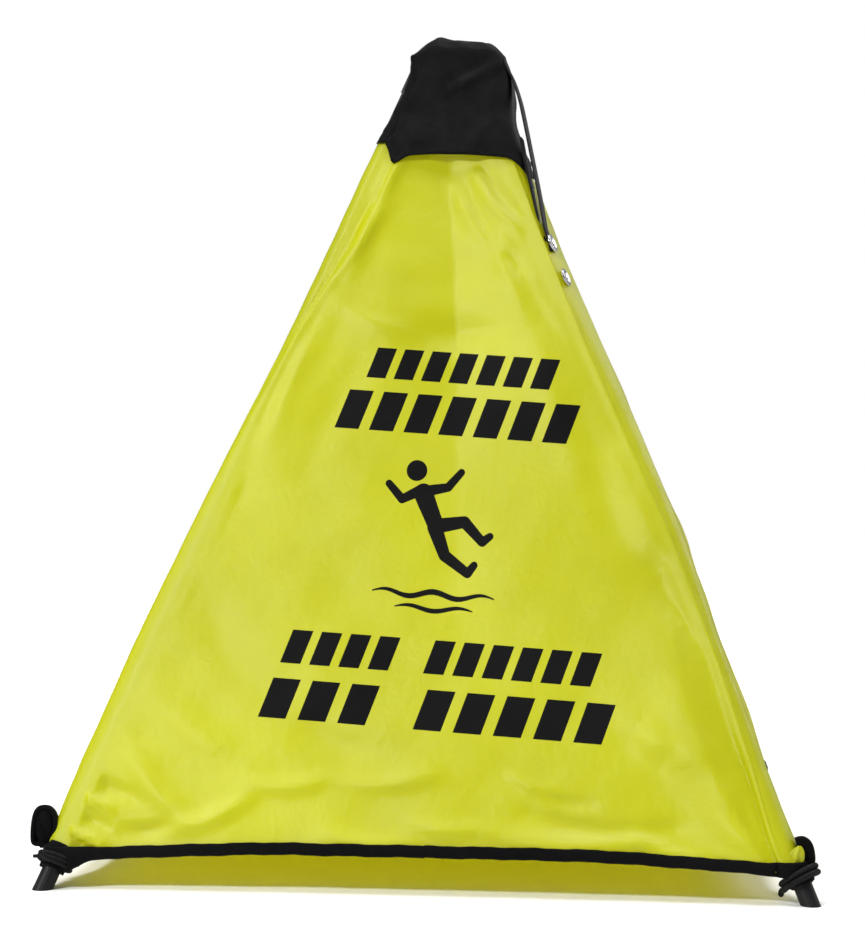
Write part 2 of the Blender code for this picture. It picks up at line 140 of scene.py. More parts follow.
# How far the cloth stands off the leg's axis on the left-hand and right-hand side of each corner.
STAND_OFF = {
    "front_right": (
        (0.0096, 0.0100, 0.0100, 0.0094, 0.0088, 0.0086, 0.0092, 0.0104, 0.0126, 0.0138, 0.0068, 0.0055),
        (0.0058, 0.0057, 0.0057, 0.0062, 0.0074, 0.0086, 0.0110, 0.0102, 0.0078, 0.0057, 0.0056, 0.0055),
    ),
    "back_right": (
        (0.0064, 0.0066, 0.0070, 0.0074, 0.0078, 0.0078, 0.0074, 0.0068, 0.0062, 0.0057, 0.0056, 0.0055),
        (0.0064, 0.0070, 0.0084, 0.0096, 0.0100, 0.0096, 0.0088, 0.0078, 0.0066, 0.0057, 0.0056, 0.0055),
    ),
    "back_left": (
        (0.0064, 0.0068, 0.0076, 0.0088, 0.0098, 0.0100, 0.0090, 0.0074, 0.0062, 0.0057, 0.0056, 0.0055),
        (0.0064, 0.0066, 0.0072, 0.0080, 0.0086, 0.0088, 0.0080, 0.0072, 0.0064, 0.0057, 0.0056, 0.0044),
    ),
    "front_left": (
        (0.0066, 0.0088, 0.0104, 0.0112, 0.0118, 0.0122, 0.0114, 0.0092, 0.0062, 0.0057, 0.0056, 0.0044),
        (0.0064, 0.0066, 0.0068, 0.0070, 0.0070, 0.0068, 0.0064, 0.0062, 0.0060, 0.0057, 0.0056, 0.0055),
    ),
}
# Where the cloth turns round the front right corner: from the leg's axis, + away from the front's middle.
TURN_SHIFT = (
    -0.0050, -0.0068, -0.0054, -0.0018, 0.0008, 0.0030,
    0.0032, 0.0008, -0.0020, -0.0028, -0.0025, -0.0020,
)
# Where the sewn seam runs: along the section from the corner's diagonal, + to the right.
SEAM_LINE = {
    "front_right": None,
    "back_right": (0, 0.001, 0.002, 0.003, 0.004, 0.004, 0.003, 0.002, 0.001, 0, 0, 0),
    "back_left": (0, -0.001, -0.003, -0.004, -0.005, -0.005, -0.004, -0.003, -0.002, -0.001, 0, 0),
    "front_left": (
        -0.0030, -0.0040, -0.0050, -0.0060, -0.0060, -0.0050,
        -0.0030, -0.0010, 0.0045, 0.0135, 0.0165, 0.0168,
    ),
}
# Height of the cover's lower edge at a side's middle and at its ties.
HEM_MID = 0.0235
HEM_END = 0.0185
# How far the lower edge is drawn in between its two ties.
HEM_TUCK = {"front": 0.0010, "right": 0.0150, "back": 0.0060, "left": 0.0070}
# How sharply the cloth turns the front right corner at each height; 1 is an even round.
CORNER_POWER = (1.2, 1.2, 1.2, 1.2, 1.2, 1.2, 1.2, 1.2, 1.5, 1.8, 1.3, 1.2)


def hem_height(x):
    """Lower edge of the cover: a shallow arch between the two ties."""
    t = np.clip(np.abs(x) / FOOT, 0, 1)
    return HEM_END + (HEM_MID - HEM_END) * (1 - smoothstep(0.35, 1.0, t))


def stand_off(corner, hand, z):
    return curve(z, HEIGHTS, STAND_OFF[corner][hand])


def corner_of(side, hand):
    """The corner at a side's right-hand (+1) or left-hand (-1) end."""
    index = SIDES.index(side)
    return CORNERS[side if hand > 0 else SIDES[index - 1]]


def turn_shift(corner, z):
    """How far past the leg's axis the corner's left-hand side stays flat."""
    return curve(z, HEIGHTS, TURN_SHIFT) if corner == "front_right" else np.zeros_like(np.asarray(z, float))


def quarter(corner, z):
    """Length of cloth round the corner, between the two flat parts."""
    a = stand_off(corner, 0, z)
    b = stand_off(corner, 1, z) - turn_shift(corner, z)
    return math.pi / 2 * np.sqrt((a * a + b * b) / 2)


def flat_reach(side, hand, z):
    """Distance from a side's middle to where the cloth starts to turn the corner."""
    corner = corner_of(side, hand)
    return half(z) + (turn_shift(corner, z) if hand > 0 else 0)


def reach(side, hand, z):
    """Cloth from the middle of a side to the corner's diagonal."""
    return flat_reach(side, hand, z) + quarter(corner_of(side, hand), z) / 2


# Folds and wrinkles: (x0, z0, x1, z1, height, half width). A negative height is a valley.
FOLDS = {
    "front": (
        (0.006, 0.412, 0.034, 0.374, 0.0015, 0.0050),
        (0.034, 0.376, 0.054, 0.338, 0.0011, 0.0065),
        (0.018, 0.420, 0.043, 0.389, 0.0014, 0.0040),
        (0.023, 0.426, 0.050, 0.394, -0.0014, 0.0040),
        (0.016, 0.403, 0.044, 0.364, -0.0014, 0.0045),
        (0.044, 0.366, 0.068, 0.322, -0.0009, 0.0065),
        (-0.036, 0.402, -0.056, 0.362, 0.0012, 0.0060),
        (-0.046, 0.405, -0.064, 0.366, -0.0009, 0.0050),
        (-0.060, 0.338, -0.022, 0.322, 0.0010, 0.0060),
        (-0.074, 0.325, -0.100, 0.262, 0.0011, 0.0090),
        (-0.050, 0.300, -0.076, 0.240, -0.0008, 0.0120),
        (0.060, 0.310, 0.090, 0.240, 0.0010, 0.0110),
        (0.092, 0.250, 0.128, 0.176, -0.0010, 0.0100),
        (0.133, 0.180, 0.147, 0.152, -0.0016, 0.0080),
        (0.120, 0.096, 0.140, 0.082, 0.0017, 0.0100),
        (0.052, 0.066, 0.072, 0.058, 0.0010, 0.0035),
        (0.066, 0.058, 0.092, 0.052, -0.0009, 0.0035),
        (-0.142, 0.036, -0.106, 0.050, 0.0015, 0.0050),
        (-0.098, 0.060, -0.058, 0.063, 0.0012, 0.0050),
        (-0.045, 0.062, 0.000, 0.066, 0.0012, 0.0050),
        (-0.054, 0.034, -0.010, 0.030, 0.0010, 0.0040),
        (-0.004, 0.040, 0.030, 0.038, 0.0012, 0.0045),
        (0.040, 0.036, 0.120, 0.034, 0.0014, 0.0050),
        (0.060, 0.046, 0.140, 0.040, -0.0012, 0.0050),
        (0.121, 0.034, 0.158, 0.024, 0.0014, 0.0045),
        (-0.211, 0.0385, -0.187, 0.0265, 0.0020, 0.0032),
        (-0.208, 0.0310, -0.192, 0.0240, -0.0016, 0.0030),
        (-0.206, 0.0470, -0.186, 0.0370, -0.0016, 0.0038),
        (-0.203, 0.0560, -0.184, 0.0460, 0.0018, 0.0036),
        (-0.196, 0.0640, -0.170, 0.0520, -0.0014, 0.0046),
        (-0.170, 0.0330, -0.148, 0.0360, -0.0012, 0.0040),
        (-0.168, 0.0700, -0.140, 0.0440, 0.0013, 0.0070),
        (-0.150, 0.100, -0.110, 0.076, 0.0011, 0.0100),
        (-0.130, 0.160, -0.100, 0.110, -0.0009, 0.0130),
        (-0.080, 0.090, -0.030, 0.078, -0.0009, 0.0090),
    ),
    "right": (
        (-0.070, 0.384, -0.130, 0.200, 0.0012, 0.0060),
        (-0.125, 0.210, -0.206, 0.032, 0.0007, 0.0040),
        (-0.116, 0.200, -0.196, 0.030, -0.0020, 0.0050),
        (-0.105, 0.200, -0.186, 0.034, 0.0006, 0.0060),
        (-0.090, 0.180, -0.170, 0.040, -0.0014, 0.0080),
        (0.050, 0.380, 0.090, 0.290, 0.0012, 0.0070),
        (0.020, 0.420, 0.044, 0.350, -0.0013, 0.0060),
        (0.034, 0.424, 0.054, 0.384, 0.0012, 0.0050),
        (-0.040, 0.120, 0.040, 0.100, 0.0013, 0.0110),
        (0.060, 0.060, 0.130, 0.044, 0.0013, 0.0060),
        (-0.060, 0.052, 0.020, 0.048, -0.0012, 0.0060),
        (0.150, 0.100, 0.196, 0.036, 0.0015, 0.0070),
        (0.120, 0.150, 0.180, 0.050, -0.0013, 0.0100),
    ),
    "back": (
        (-0.030, 0.420, -0.064, 0.330, 0.0012, 0.0060),
        (-0.018, 0.410, -0.050, 0.330, -0.0012, 0.0060),
        (0.030, 0.416, 0.056, 0.356, 0.0013, 0.0060),
        (0.060, 0.280, 0.110, 0.180, -0.0011, 0.0120),
        (-0.090, 0.230, -0.150, 0.110, 0.0013, 0.0110),
        (-0.140, 0.120, -0.198, 0.030, -0.0016, 0.0080),
        (-0.120, 0.110, -0.190, 0.040, 0.0014, 0.0070),
        (0.130, 0.120, 0.196, 0.032, 0.0017, 0.0075),
        (0.110, 0.130, 0.180, 0.040, -0.0014, 0.0080),
        (-0.080, 0.050, 0.000, 0.058, 0.0012, 0.0055),
        (0.020, 0.044, 0.090, 0.040, 0.0013, 0.0050),
        (-0.040, 0.036, 0.040, 0.034, -0.0010, 0.0050),
    ),
    "left": (
        (-0.034, 0.410, -0.060, 0.340, 0.0012, 0.0060),
        (0.020, 0.418, 0.050, 0.360, -0.0013, 0.0055),
        (0.032, 0.424, 0.062, 0.350, 0.0013, 0.0055),
        (0.080, 0.260, 0.150, 0.130, 0.0014, 0.0110),
        (0.130, 0.150, 0.198, 0.036, -0.0016, 0.0080),
        (0.150, 0.150, 0.206, 0.046, 0.0014, 0.0060),
        (-0.100, 0.200, -0.150, 0.110, -0.0011, 0.0120),
        (-0.140, 0.110, -0.196, 0.034, 0.0016, 0.0075),
        (-0.060, 0.090, 0.030, 0.076, 0.0012, 0.0100),
        (-0.120, 0.046, -0.060, 0.052, -0.0011, 0.0055),
        (0.010, 0.040, 0.100, 0.044, 0.0013, 0.0055),
    ),
}
# Pressed creases: (x0, z0, x1, z1, depth at each end, half width).
CREASES = {
    "front": (
        (-0.001, 0.462, 0.009, 0.320, 0.0070, 0.0050, 0.042),
        (0.009, 0.320, 0.014, 0.150, 0.0050, 0.0010, 0.055),
    ),
    "right": ((-0.002, 0.462, -0.010, 0.240, 0.0030, 0.0010, 0.046),),
    "back": ((0.002, 0.462, -0.008, 0.220, 0.0030, 0.0010, 0.046),),
    "left": ((0.000, 0.462, 0.008, 0.230, 0.0030, 0.0010, 0.046),),
}
CREASE_ROUND = 0.0016  # keeps the bottom of a crease from being a sharp line
# Pleats at the ties: heights, then crest, valley and rise at each, and the width of the crest's outer slope.
PLEATS = {
    "front": ((
        (0.014, 0.030, 0.045, 0.062, 0.086, 0.110, 0.143, 0.176),
        (0.1970, 0.1870, 0.1780, 0.1680, 0.1574, 0.1478, 0.1410, 0.1390),
        (0.2005, 0.1950, 0.1905, 0.1850, 0.1765, 0.1690, 0.1600, 0.1560),
        (0.0022, 0.0044, 0.0052, 0.0058, 0.0056, 0.0046, 0.0024, 0.0000), 0.020,
    ),),
    "right": ((
        (0.014, 0.045, 0.086, 0.140, 0.200),
        (0.1950, 0.1800, 0.1600, 0.1420, 0.1250),
        (0.2010, 0.1890, 0.1740, 0.1560, 0.1340),
        (0.0012, 0.0026, 0.0026, 0.0018, 0.0000), 0.020,
    ),),
    "back": ((
        (0.014, 0.045, 0.080, 0.130, 0.180),
        (-0.1960, -0.1810, -0.1640, -0.1460, -0.1300),
        (-0.2015, -0.1900, -0.1770, -0.1600, -0.1400),
        (0.0012, 0.0028, 0.0028, 0.0018, 0.0000), 0.018,
    ),),
    "left": ((
        (0.014, 0.045, 0.080, 0.120, 0.160),
        (0.1950, 0.1810, 0.1640, 0.1480, 0.1360),
        (0.2010, 0.1900, 0.1760, 0.1600, 0.1440),
        (0.0012, 0.0026, 0.0026, 0.0016, 0.0000), 0.018,
    ),),
}
PLEAT_DIP = 0.75  # depth of a pleat's valley, as a share of its rise
PLEAT_RETURN = 0.0032
STRIP_WIDE = 0.0135
STRIP_RISE = 0.0022
FOLD_GAIN = 1.9
PUCKERS = 11  # small pleats that fan out of each tie
PUCKER_HEIGHT = 0.0011
PUCKER_REACH = 0.055


def segment_distance(x, z, x0, z0, x1, z1):
    """Distance across a fold's line, the place along it (0 to 1 between its ends) and its length."""
    dx, dz = x1 - x0, z1 - z0
    length = math.hypot(dx, dz)
    along = ((x - x0) * dx + (z - z0) * dz) / length**2
    across = ((x - x0) * dz - (z - z0) * dx) / length
    return across, along, length


def fold_field(side, x, z):
    total = np.zeros_like(x)
    for x0, z0, x1, z1, height, width in FOLDS[side]:
        across, along, length = segment_distance(x, z, x0, z0, x1, z1)
        bow = 0.06 * length * np.sin(math.pi * np.clip(along, 0, 1))
        over = np.maximum(np.abs(along - 0.5) - 0.5, 0) * length
        window = bell(over, 1.6 * width)
        swell = 0.55 + 0.45 * np.sin(math.pi * np.clip(along, 0, 1))
        total += FOLD_GAIN * height * swell * window * bell(across - bow, width)
    return total


def pucker_field(side, x, z):
    """Small pleats that fan out of the two ties of a side."""
    total = np.zeros_like(x)
    for hand in (-1, 1):
        seed = 2 * SIDES.index(side) + (hand > 0)
        rise = z - 0.012
        run = np.maximum(hand * (FOOT - 0.004 - hand * x), 0.0)
        away = np.hypot(rise, run)
        angle = np.arctan2(rise, run)
        wave = np.sin(PUCKERS * angle + 1.7 * seed) + 0.5 * np.sin(1.9 * PUCKERS * angle + seed)
        fade = smoothstep(0.004, 0.018, away) * bell(away, PUCKER_REACH)
        total += PUCKER_HEIGHT * wave * fade
    return total


UNDULATION = 0.0024  # height of a wave of the slack cloth, as a share of its length


def undulation(side, x, z):
    """Broad unevenness of slack nylon, the same on every run."""
    rng = random.Random(40 + SIDES.index(side))
    total = np.zeros_like(x)
    for _ in range(15):
        angle = rng.uniform(0.15, math.pi - 0.15)
        wavelength = rng.uniform(0.018, 0.110)
        phase = rng.uniform(0, 2 * math.pi)
        k = 2 * math.pi / wavelength
        warp = 0.6 * np.sin(31 * z + 3 * phase) + 0.5 * np.sin(27 * x + 5 * phase)
        total += wavelength * np.sin(k * (x * math.cos(angle) + z * math.sin(angle)) + phase + warp)
    return UNDULATION * total


def crease_field(side, x, z):
    """Pressed creases, where the cover is folded for storage: a valley with two flat flanks."""
    total = np.zeros_like(x)
    for x0, z0, x1, z1, depth0, depth1, width in CREASES[side]:
        across, along, length = segment_distance(x, z, x0, z0, x1, z1)
        depth = depth0 + (depth1 - depth0) * np.clip(along, 0, 1)
        over = np.maximum(np.abs(along - 0.5) - 0.5, 0) * length
        near = np.clip(1 - np.sqrt(across**2 + CREASE_ROUND**2) / width, 0, 1)
        total -= depth * near**1.5 * bell(over, 0.012)
    return total


def strip_field(side, x, z):
    """The strip of the left side that wraps onto the front at the top, falling back from its seam."""
    if side != "front":
        return np.zeros_like(x)
    seam = -half(z) + STRIP_WIDE * smoothstep(0.335, 0.385, z)
    gap = x - seam
    outside = np.clip(1 + gap / STRIP_WIDE, 0, 1)
    inside = bell(np.maximum(gap, 0), 0.0050)
    return STRIP_RISE * smoothstep(0.335, 0.375, z) * np.where(gap < 0, outside, inside)


def pleat_field(side, x, z):
    """Pleats that run down to a tie: a crest, a flank that falls to a valley beside it, and flat cloth."""
    total = np.zeros_like(x)
    for heights, crests, valleys, rises, apron in PLEATS[side]:
        crest, valley, rise = (curve(z, heights, values) for values in (crests, valleys, rises))
        rise = np.maximum(rise, 0) * (z < heights[-1])
        way = np.sign(valley - crest)
        run = way * (x - crest)
        width = np.maximum(np.abs(valley - crest), 0.002)
        before = bell(np.minimum(run, 0), apron)
        flank = 1 - (1 + PLEAT_DIP) * np.clip(run / width, 0, 1)
        after = -PLEAT_DIP * bell(np.maximum(run - width, 0), PLEAT_RETURN)
        total += rise * np.where(run < 0, before, np.where(run < width, flank, after))
    return total


def relief(side, x, z):
    """Outward displacement of the flat part, faded out at the legs and under the cap."""
    inside = np.where(x > 0, flat_reach(side, 1, z), flat_reach(side, -1, z)) - np.abs(x)
    edge = smoothstep(0.0, 0.004 + 0.008 * smoothstep(0.060, 0.110, z), inside)
    top = 1 - 0.9 * smoothstep(0.424, 0.440, z)
    soft = fold_field(side, x, z) + undulation(side, x, z) + pucker_field(side, x, z)
    soft += crease_field(side, x, z) + strip_field(side, x, z)
    clear = smoothstep(0.003, 0.011, inside)
    return top * edge * (np.where(soft < 0, soft * clear, soft) + pleat_field(side, x, z))


def flat_part(side, x, z):
    """(x, d) of the cloth between the two legs."""
    left, right = corner_of(side, -1), corner_of(side, 1)
    h = half(z)
    t = np.clip((x / h + 1) / 2, 0, 1)
    off = (1 - t) * stand_off(left, 1, z) + t ** 1.5 * stand_off(right, 0, z) + (t - t ** 1.5) * 0.0062
    slack = 0.0012 * np.sin(math.pi * t) ** 2 * smoothstep(0.02, 0.12, z)
    slack += HEM_TUCK[side] * smoothstep(0.0, 0.045, h - np.abs(x)) * (1 - smoothstep(0.024, 0.110, z))
    return x, h + off - slack + relief(side, x, z)


def seam_place(corner, z):
    """Place of a corner's seam along the section, from the corner's diagonal."""
    if SEAM_LINE[corner] is None:
        return -quarter(corner, z) / 2
    return curve(z, HEIGHTS, SEAM_LINE[corner])


def corner_swell(corner, q, z):
    """Small rolls of cloth along the corner, and the folded lip of the sewn seam."""
    gap = q - seam_place(corner, z)
    if corner == "front_left":
        gap = -gap  # measured toward the front panel's middle on either corner
    inner = 0.0007 * bell(np.minimum(gap, 0), 0.0045)
    outer = bell(np.maximum(gap, 0), 0.0009)
    lip = np.where(gap < 0, inner, 0.0007 * outer)
    ditch = -0.0003 * bell(gap - 0.0020, 0.0009)
    seed = SIDES.index(next(s for s in SIDES if CORNERS[s] == corner))
    roll = 0.00022 * np.sin(95 * z + 2.1 * seed) * np.sin(160 * z + seed)
    return lip + ditch + roll * bell(q, 0.008)


def to_world(side, x, d, z):
    a = math.radians(AZIMUTHS[side])
    out = np.array([math.cos(a), math.sin(a), 0.0])
    along = np.array([-math.sin(a), math.cos(a), 0.0])
    x, d, z = (np.asarray(v, float)[..., None] for v in (x, d, z))
    return x * along + d * out + z * UP


def base_point(side, s, z):
    """Point of the cover at arc length s from a side's middle, without the corner's own relief."""
    hand = np.where(s < 0, -1.0, 1.0)
    points = np.zeros(s.shape + (3,))
    q = np.zeros_like(s)
    for way in (-1, 1):
        corner = corner_of(side, way)
        shift = turn_shift(corner, z)
        near, far = stand_off(corner, 0, z), stand_off(corner, 1, z) - shift
        centre_x, centre_d = half(z) + shift, half(z)
        if way < 0:
            near, far = far, near
            centre_x, centre_d = centre_d, centre_x
        turn = quarter(corner, z)
        over = way * s - centre_x
        mine = (hand == way)
        flat = mine & (over <= 0)
        x, d = flat_part(side, s, z)
        points[flat] = to_world(side, x, d, z)[flat]
        angle = np.clip(over / turn, 0, 1) * math.pi / 2
        arc = mine & (over > 0)
        power = curve(z, HEIGHTS, CORNER_POWER) if corner == "front_right" else 1.0
        x = way * (centre_x + far * np.sin(angle) ** power)
        d = centre_d + near * np.cos(angle) ** power - np.maximum(over - turn, 0)
        points[arc] = to_world(side, x, d, z)[arc]
        q[mine] = (way * (over - turn / 2))[mine]
    return points, q, hand


def cover_point(side, s, z):
    """Point of the cover with all its relief."""
    s, z = np.broadcast_arrays(np.asarray(s, float), np.asarray(z, float))
    points, q, hand = base_point(side, s, z)
    eps = 0.0006
    before, _, _ = base_point(side, s - eps, z)
    after, _, _ = base_point(side, s + eps, z)
    run = after - before
    outward = np.stack([run[..., 1], -run[..., 0], np.zeros_like(s)], axis=-1)
    outward /= np.maximum(np.linalg.norm(outward, axis=-1, keepdims=True), 1e-9)
    swell = np.zeros_like(s)
    for way in (-1, 1):
        corner = corner_of(side, way)
        mine = hand == way
        value = corner_swell(corner, q, z) * smoothstep(0.012, 0.030, z) * (1 - smoothstep(0.424, 0.436, z))
        swell[mine] = value[mine]
    return points + outward * swell[..., None]


def cover_normal(side, s, z):
    eps = 0.0007
    along = cover_point(side, s + eps, z) - cover_point(side, s - eps, z)
    up = cover_point(side, s, z + eps) - cover_point(side, s, z - eps)
    normal = np.cross(along, up)
    return normal / np.maximum(np.linalg.norm(normal, axis=-1, keepdims=True), 1e-12)


# ------------------------------------------------------------------ the print

PRINT_TILT = math.radians(-3.4)
PRINT_MIDDLE = (0.004, 0.200)


def bar(x, z, width, height, slant=0.30):
    """A leaning block of hazard hatching."""
    lean = slant * height / 2
    w, h = width / 2, height / 2
    return [(x - w - lean, z - h), (x + w - lean, z - h), (x + w + lean, z + h), (x - w + lean, z + h)]


def bar_row(x0, x1, z, height, words):
    """A row of blocks, in groups with a gap between them."""
    count = sum(words) + 0.9 * (len(words) - 1)
    pitch = (x1 - x0) / count
    shapes, x = [], x0 + pitch / 2
    for blocks in words:
        for _ in range(blocks):
            shapes.append(bar(x, z, 0.70 * pitch, height))
            x += pitch
        x += 0.9 * pitch
    return shapes


def limb(x0, z0, x1, z1, r0, r1, steps=9):
    """Outline of a rounded limb between two points."""
    heading = math.atan2(z1 - z0, x1 - x0)
    shape = []
    for cx, cz, r, start in ((x1, z1, r1, heading - math.pi / 2), (x0, z0, r0, heading + math.pi / 2)):
        for i in range(steps):
            a = start + math.pi * i / (steps - 1)
            shape.append((cx + r * math.cos(a), cz + r * math.sin(a)))
    return shape


def disc(x, z, r, steps=28):
    return [(x + r * math.cos(a), z + r * math.sin(a)) for a in full_turn(steps)]


def wave(x0, x1, z, height, depth, crests, steps=26):
    """A wavy band that stands for water."""
    top, bottom = [], []
    for i in range(steps + 1):
        t = i / steps
        x = x0 + (x1 - x0) * t
        thick = height * math.sin(math.pi * min(max(t, 0.02), 0.98)) ** 0.5
        mid = z + depth * math.sin(2 * math.pi * crests * t)
        top.append((x, mid + thick / 2))
        bottom.append((x, mid - thick / 2))
    return top + bottom[::-1]


# Limbs of the falling figure: the two ends and the radius at each, in the figure's own units.
FIGURE = (
    ((40, 76), (53, 50), 8.0, 6.6),
    ((39, 79), (23, 70), 4.6, 3.6),
    ((23, 70), (11, 82), 3.6, 3.0),
    ((43, 78), (60, 82), 4.6, 3.6),
    ((60, 82), (70, 95), 3.6, 3.0),
    ((53, 50), (76, 55), 6.2, 4.8),
    ((76, 55), (92, 40), 4.8, 3.8),
    ((92, 40), (98, 45), 3.8, 3.0),
    ((52, 49), (62, 27), 6.2, 4.8),
    ((62, 27), (82, 14), 4.8, 3.8),
    ((82, 14), (87, 21), 3.8, 3.0),
)
FIGURE_SCALE = 0.00072
FIGURE_CORNER = (-0.038, 0.170)


def print_shapes():
    """Outlines of the printed marks in a side's x and z."""
    shapes = bar_row(-0.050, 0.066, 0.3005, 0.0185, (7,))
    shapes += bar_row(-0.066, 0.080, 0.2715, 0.0235, (7,))
    shapes += bar_row(-0.083, 0.103, 0.1315, 0.0190, (4, 6))
    shapes += bar_row(-0.093, 0.113, 0.1020, 0.0225, (3, 5))
    x0, z0 = FIGURE_CORNER
    for (ax, az), (bx, bz), ra, rb in FIGURE:
        k = FIGURE_SCALE
        shapes.append(limb(x0 + ax * k, z0 + az * k, x0 + bx * k, z0 + bz * k, ra * k, rb * k))
    shapes.append(disc(x0 + 33 * FIGURE_SCALE, z0 + 94 * FIGURE_SCALE, 8.6 * FIGURE_SCALE))
    shapes.append(wave(-0.034, 0.038, 0.1665, 0.0034, 0.0016, 2.5))
    shapes.append(wave(-0.020, 0.026, 0.1585, 0.0028, 0.0013, 1.5))
    return [[turn_print(p) for p in shape] for shape in shapes]


def turn_print(point):
    x, z = point[0] - PRINT_MIDDLE[0], point[1] - PRINT_MIDDLE[1]
    c, s = math.cos(PRINT_TILT), math.sin(PRINT_TILT)
    return (PRINT_MIDDLE[0] + c * x - s * z, PRINT_MIDDLE[1] + s * x + c * z)


def inside_shape(shape, x, z):
    """Even-odd test of many points against one outline."""
    found = np.zeros(x.shape, bool)
    previous = shape[-1]
    for point in shape:
        (xa, za), (xb, zb) = previous, point
        if za != zb:
            crosses = (za > z) != (zb > z)
            found ^= crosses & (x < (xb - xa) * (z - za) / (zb - za) + xa)
        previous = point
    return found


# ------------------------------------------------------------------ meshes


def mesh_object(name, points, faces, materials, face_material=None, normals=None, cloth=None):
    """A smooth-shaded mesh object. cloth holds each point's place on the flat cloth, for the weave."""
    mesh = bpy.data.meshes.new(name)
    mesh.from_pydata([tuple(p) for p in points], [], [tuple(int(i) for i in f) for f in faces])
    for material in materials:
        mesh.materials.append(material)
    if face_material is not None:
        mesh.polygons.foreach_set("material_index", np.asarray(face_material, np.int32))
    mesh.polygons.foreach_set("use_smooth", np.ones(len(mesh.polygons), bool))
    if cloth is not None:
        attribute = mesh.attributes.new("cloth", "FLOAT_VECTOR", "POINT")
        attribute.data.foreach_set("vector", np.asarray(cloth, np.float32).ravel())
    mesh.validate()
    mesh.update()
    if normals is not None:
        mesh.normals_split_custom_set_from_vertices([tuple(n) for n in normals])
    obj = bpy.data.objects.new(name, mesh)
    bpy.context.scene.collection.objects.link(obj)
    return obj


def dress(obj, slot_name, *nodes):
    if nodes:
        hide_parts(*nodes)
    return obj


GRID = 0.0030  # spacing of the cover's mesh
CORNER_COLUMNS = 14
LEAST_COLUMNS = 8
INK_CLEAR = 0.0013  # grid points nearer than this to a printed edge are left out
TURN_MARGIN = 0.006  # how far before the corner its finer columns start


def half_grid(side, hand):
    """Flat coordinates (s, z) of a half panel's points: s is the distance from the middle line."""
    levels = np.linspace(0, 1, int((PANEL_TOP - HEM_MID) / GRID) + 1)
    corner_share = np.linspace(0, 1, CORNER_COLUMNS + 1)[1:]
    columns = int(FOOT / GRID)
    points, borders = [], {"hem": [], "top": [], "middle": [], "seam": []}
    for level in levels:
        count = int(columns * half(HEM_MID + (PANEL_TOP - HEM_MID) * level) / FOOT)
        flat_share = np.linspace(0, 1, max(count, LEAST_COLUMNS) + 1)
        row = len(points)
        for t in flat_share:
            z = place_height(FOOT * t, level)
            points.append((t * (float(flat_reach(side, hand, z)) - TURN_MARGIN), z))
        z = place_height(FOOT, level)
        flat_end = float(flat_reach(side, hand, z)) - TURN_MARGIN
        for t in corner_share:
            points.append((flat_end + t * (float(reach(side, hand, z)) - flat_end), z))
        borders["middle"].append(row)
        borders["seam"].append(len(points) - 1)
        if level == levels[0]:
            borders["hem"] = list(range(row, len(points)))
        if level == levels[-1]:
            borders["top"] = list(range(row, len(points)))
    return points, borders


def place_height(x, level):
    """Height of a grid point: rows follow the hem at the bottom and level out upward."""
    low = float(hem_height(x))
    return low + (PANEL_TOP - low) * level


def clip_to_half(a, b):
    """The part of a printed edge with s >= 0, or None."""
    if a[0] < 0 and b[0] < 0:
        return None
    if a[0] >= 0 and b[0] >= 0:
        return a, b
    t = a[0] / (a[0] - b[0])
    cut = (0.0, a[1] + t * (b[1] - a[1]))
    return (cut, b) if a[0] < 0 else (a, cut)


def densify(a, b):
    """Points from a to b, about a grid step apart."""
    count = max(int(math.hypot(b[0] - a[0], b[1] - a[1]) / GRID), 1)
    return [(a[0] + (b[0] - a[0]) * i / count, a[1] + (b[1] - a[1]) * i / count) for i in range(count + 1)]


def half_mesh(side, hand, shapes):
    """Points, triangles and ink flags of one half of a side, with the print's edges cut in."""
    points, borders = half_grid(side, hand)
    mirrored = [[(hand * x, z) for x, z in shape] for shape in shapes]
    ink_points, ink_edges = [], []
    for shape in mirrored:
        for a, b in zip(shape, shape[1:] + shape[:1]):
            part = clip_to_half(a, b)
            if part is None:
                continue
            line = densify(*part)
            start = len(ink_points)
            ink_points += line
            ink_edges += [(start + i, start + i + 1) for i in range(len(line) - 1)]
    tree = KDTree(max(len(ink_points), 1))
    for i, (s, z) in enumerate(ink_points):
        tree.insert((s, z, 0), i)
    tree.balance()
    on_border = {i for line in borders.values() for i in line}
    keep = [
        i for i, (s, z) in enumerate(points)
        if i in on_border or not ink_points or tree.find((s, z, 0))[2] > INK_CLEAR
    ]
    renumber = {old: new for new, old in enumerate(keep)}
    outline = borders["hem"] + borders["seam"][1:] + borders["top"][::-1][1:] + borders["middle"][::-1][1:]
    edges = [(renumber[a], renumber[b]) for a, b in zip(outline, outline[1:])]
    base = [points[i] for i in keep]
    edges += [(len(base) + a, len(base) + b) for a, b in ink_edges]
    made = delaunay_2d_cdt([Vector(p) for p in base + ink_points], edges, [], 0, 1e-6)
    flat = np.array([tuple(v) for v in made[0]])
    triangles = np.array([tuple(f) for f in made[2]])
    middle = flat[triangles].mean(axis=1)
    border = np.array([points[i] for i in outline])
    inside = inside_shape([tuple(p) for p in border], middle[:, 0], middle[:, 1])
    a, b, c = (flat[triangles[:, k]] for k in range(3))
    area = np.abs((b[:, 0] - a[:, 0]) * (c[:, 1] - a[:, 1]) - (b[:, 1] - a[:, 1]) * (c[:, 0] - a[:, 0])) / 2
    triangles = triangles[inside & (area > 1e-10)]
    middle = flat[triangles].mean(axis=1)
    ink = np.zeros(len(triangles), bool)
    for shape in mirrored:
        ink |= inside_shape(shape, middle[:, 0], middle[:, 1])
    used = np.unique(triangles)
    order = np.full(len(flat), -1)
    order[used] = np.arange(len(used))
    return flat[used], order[triangles], ink


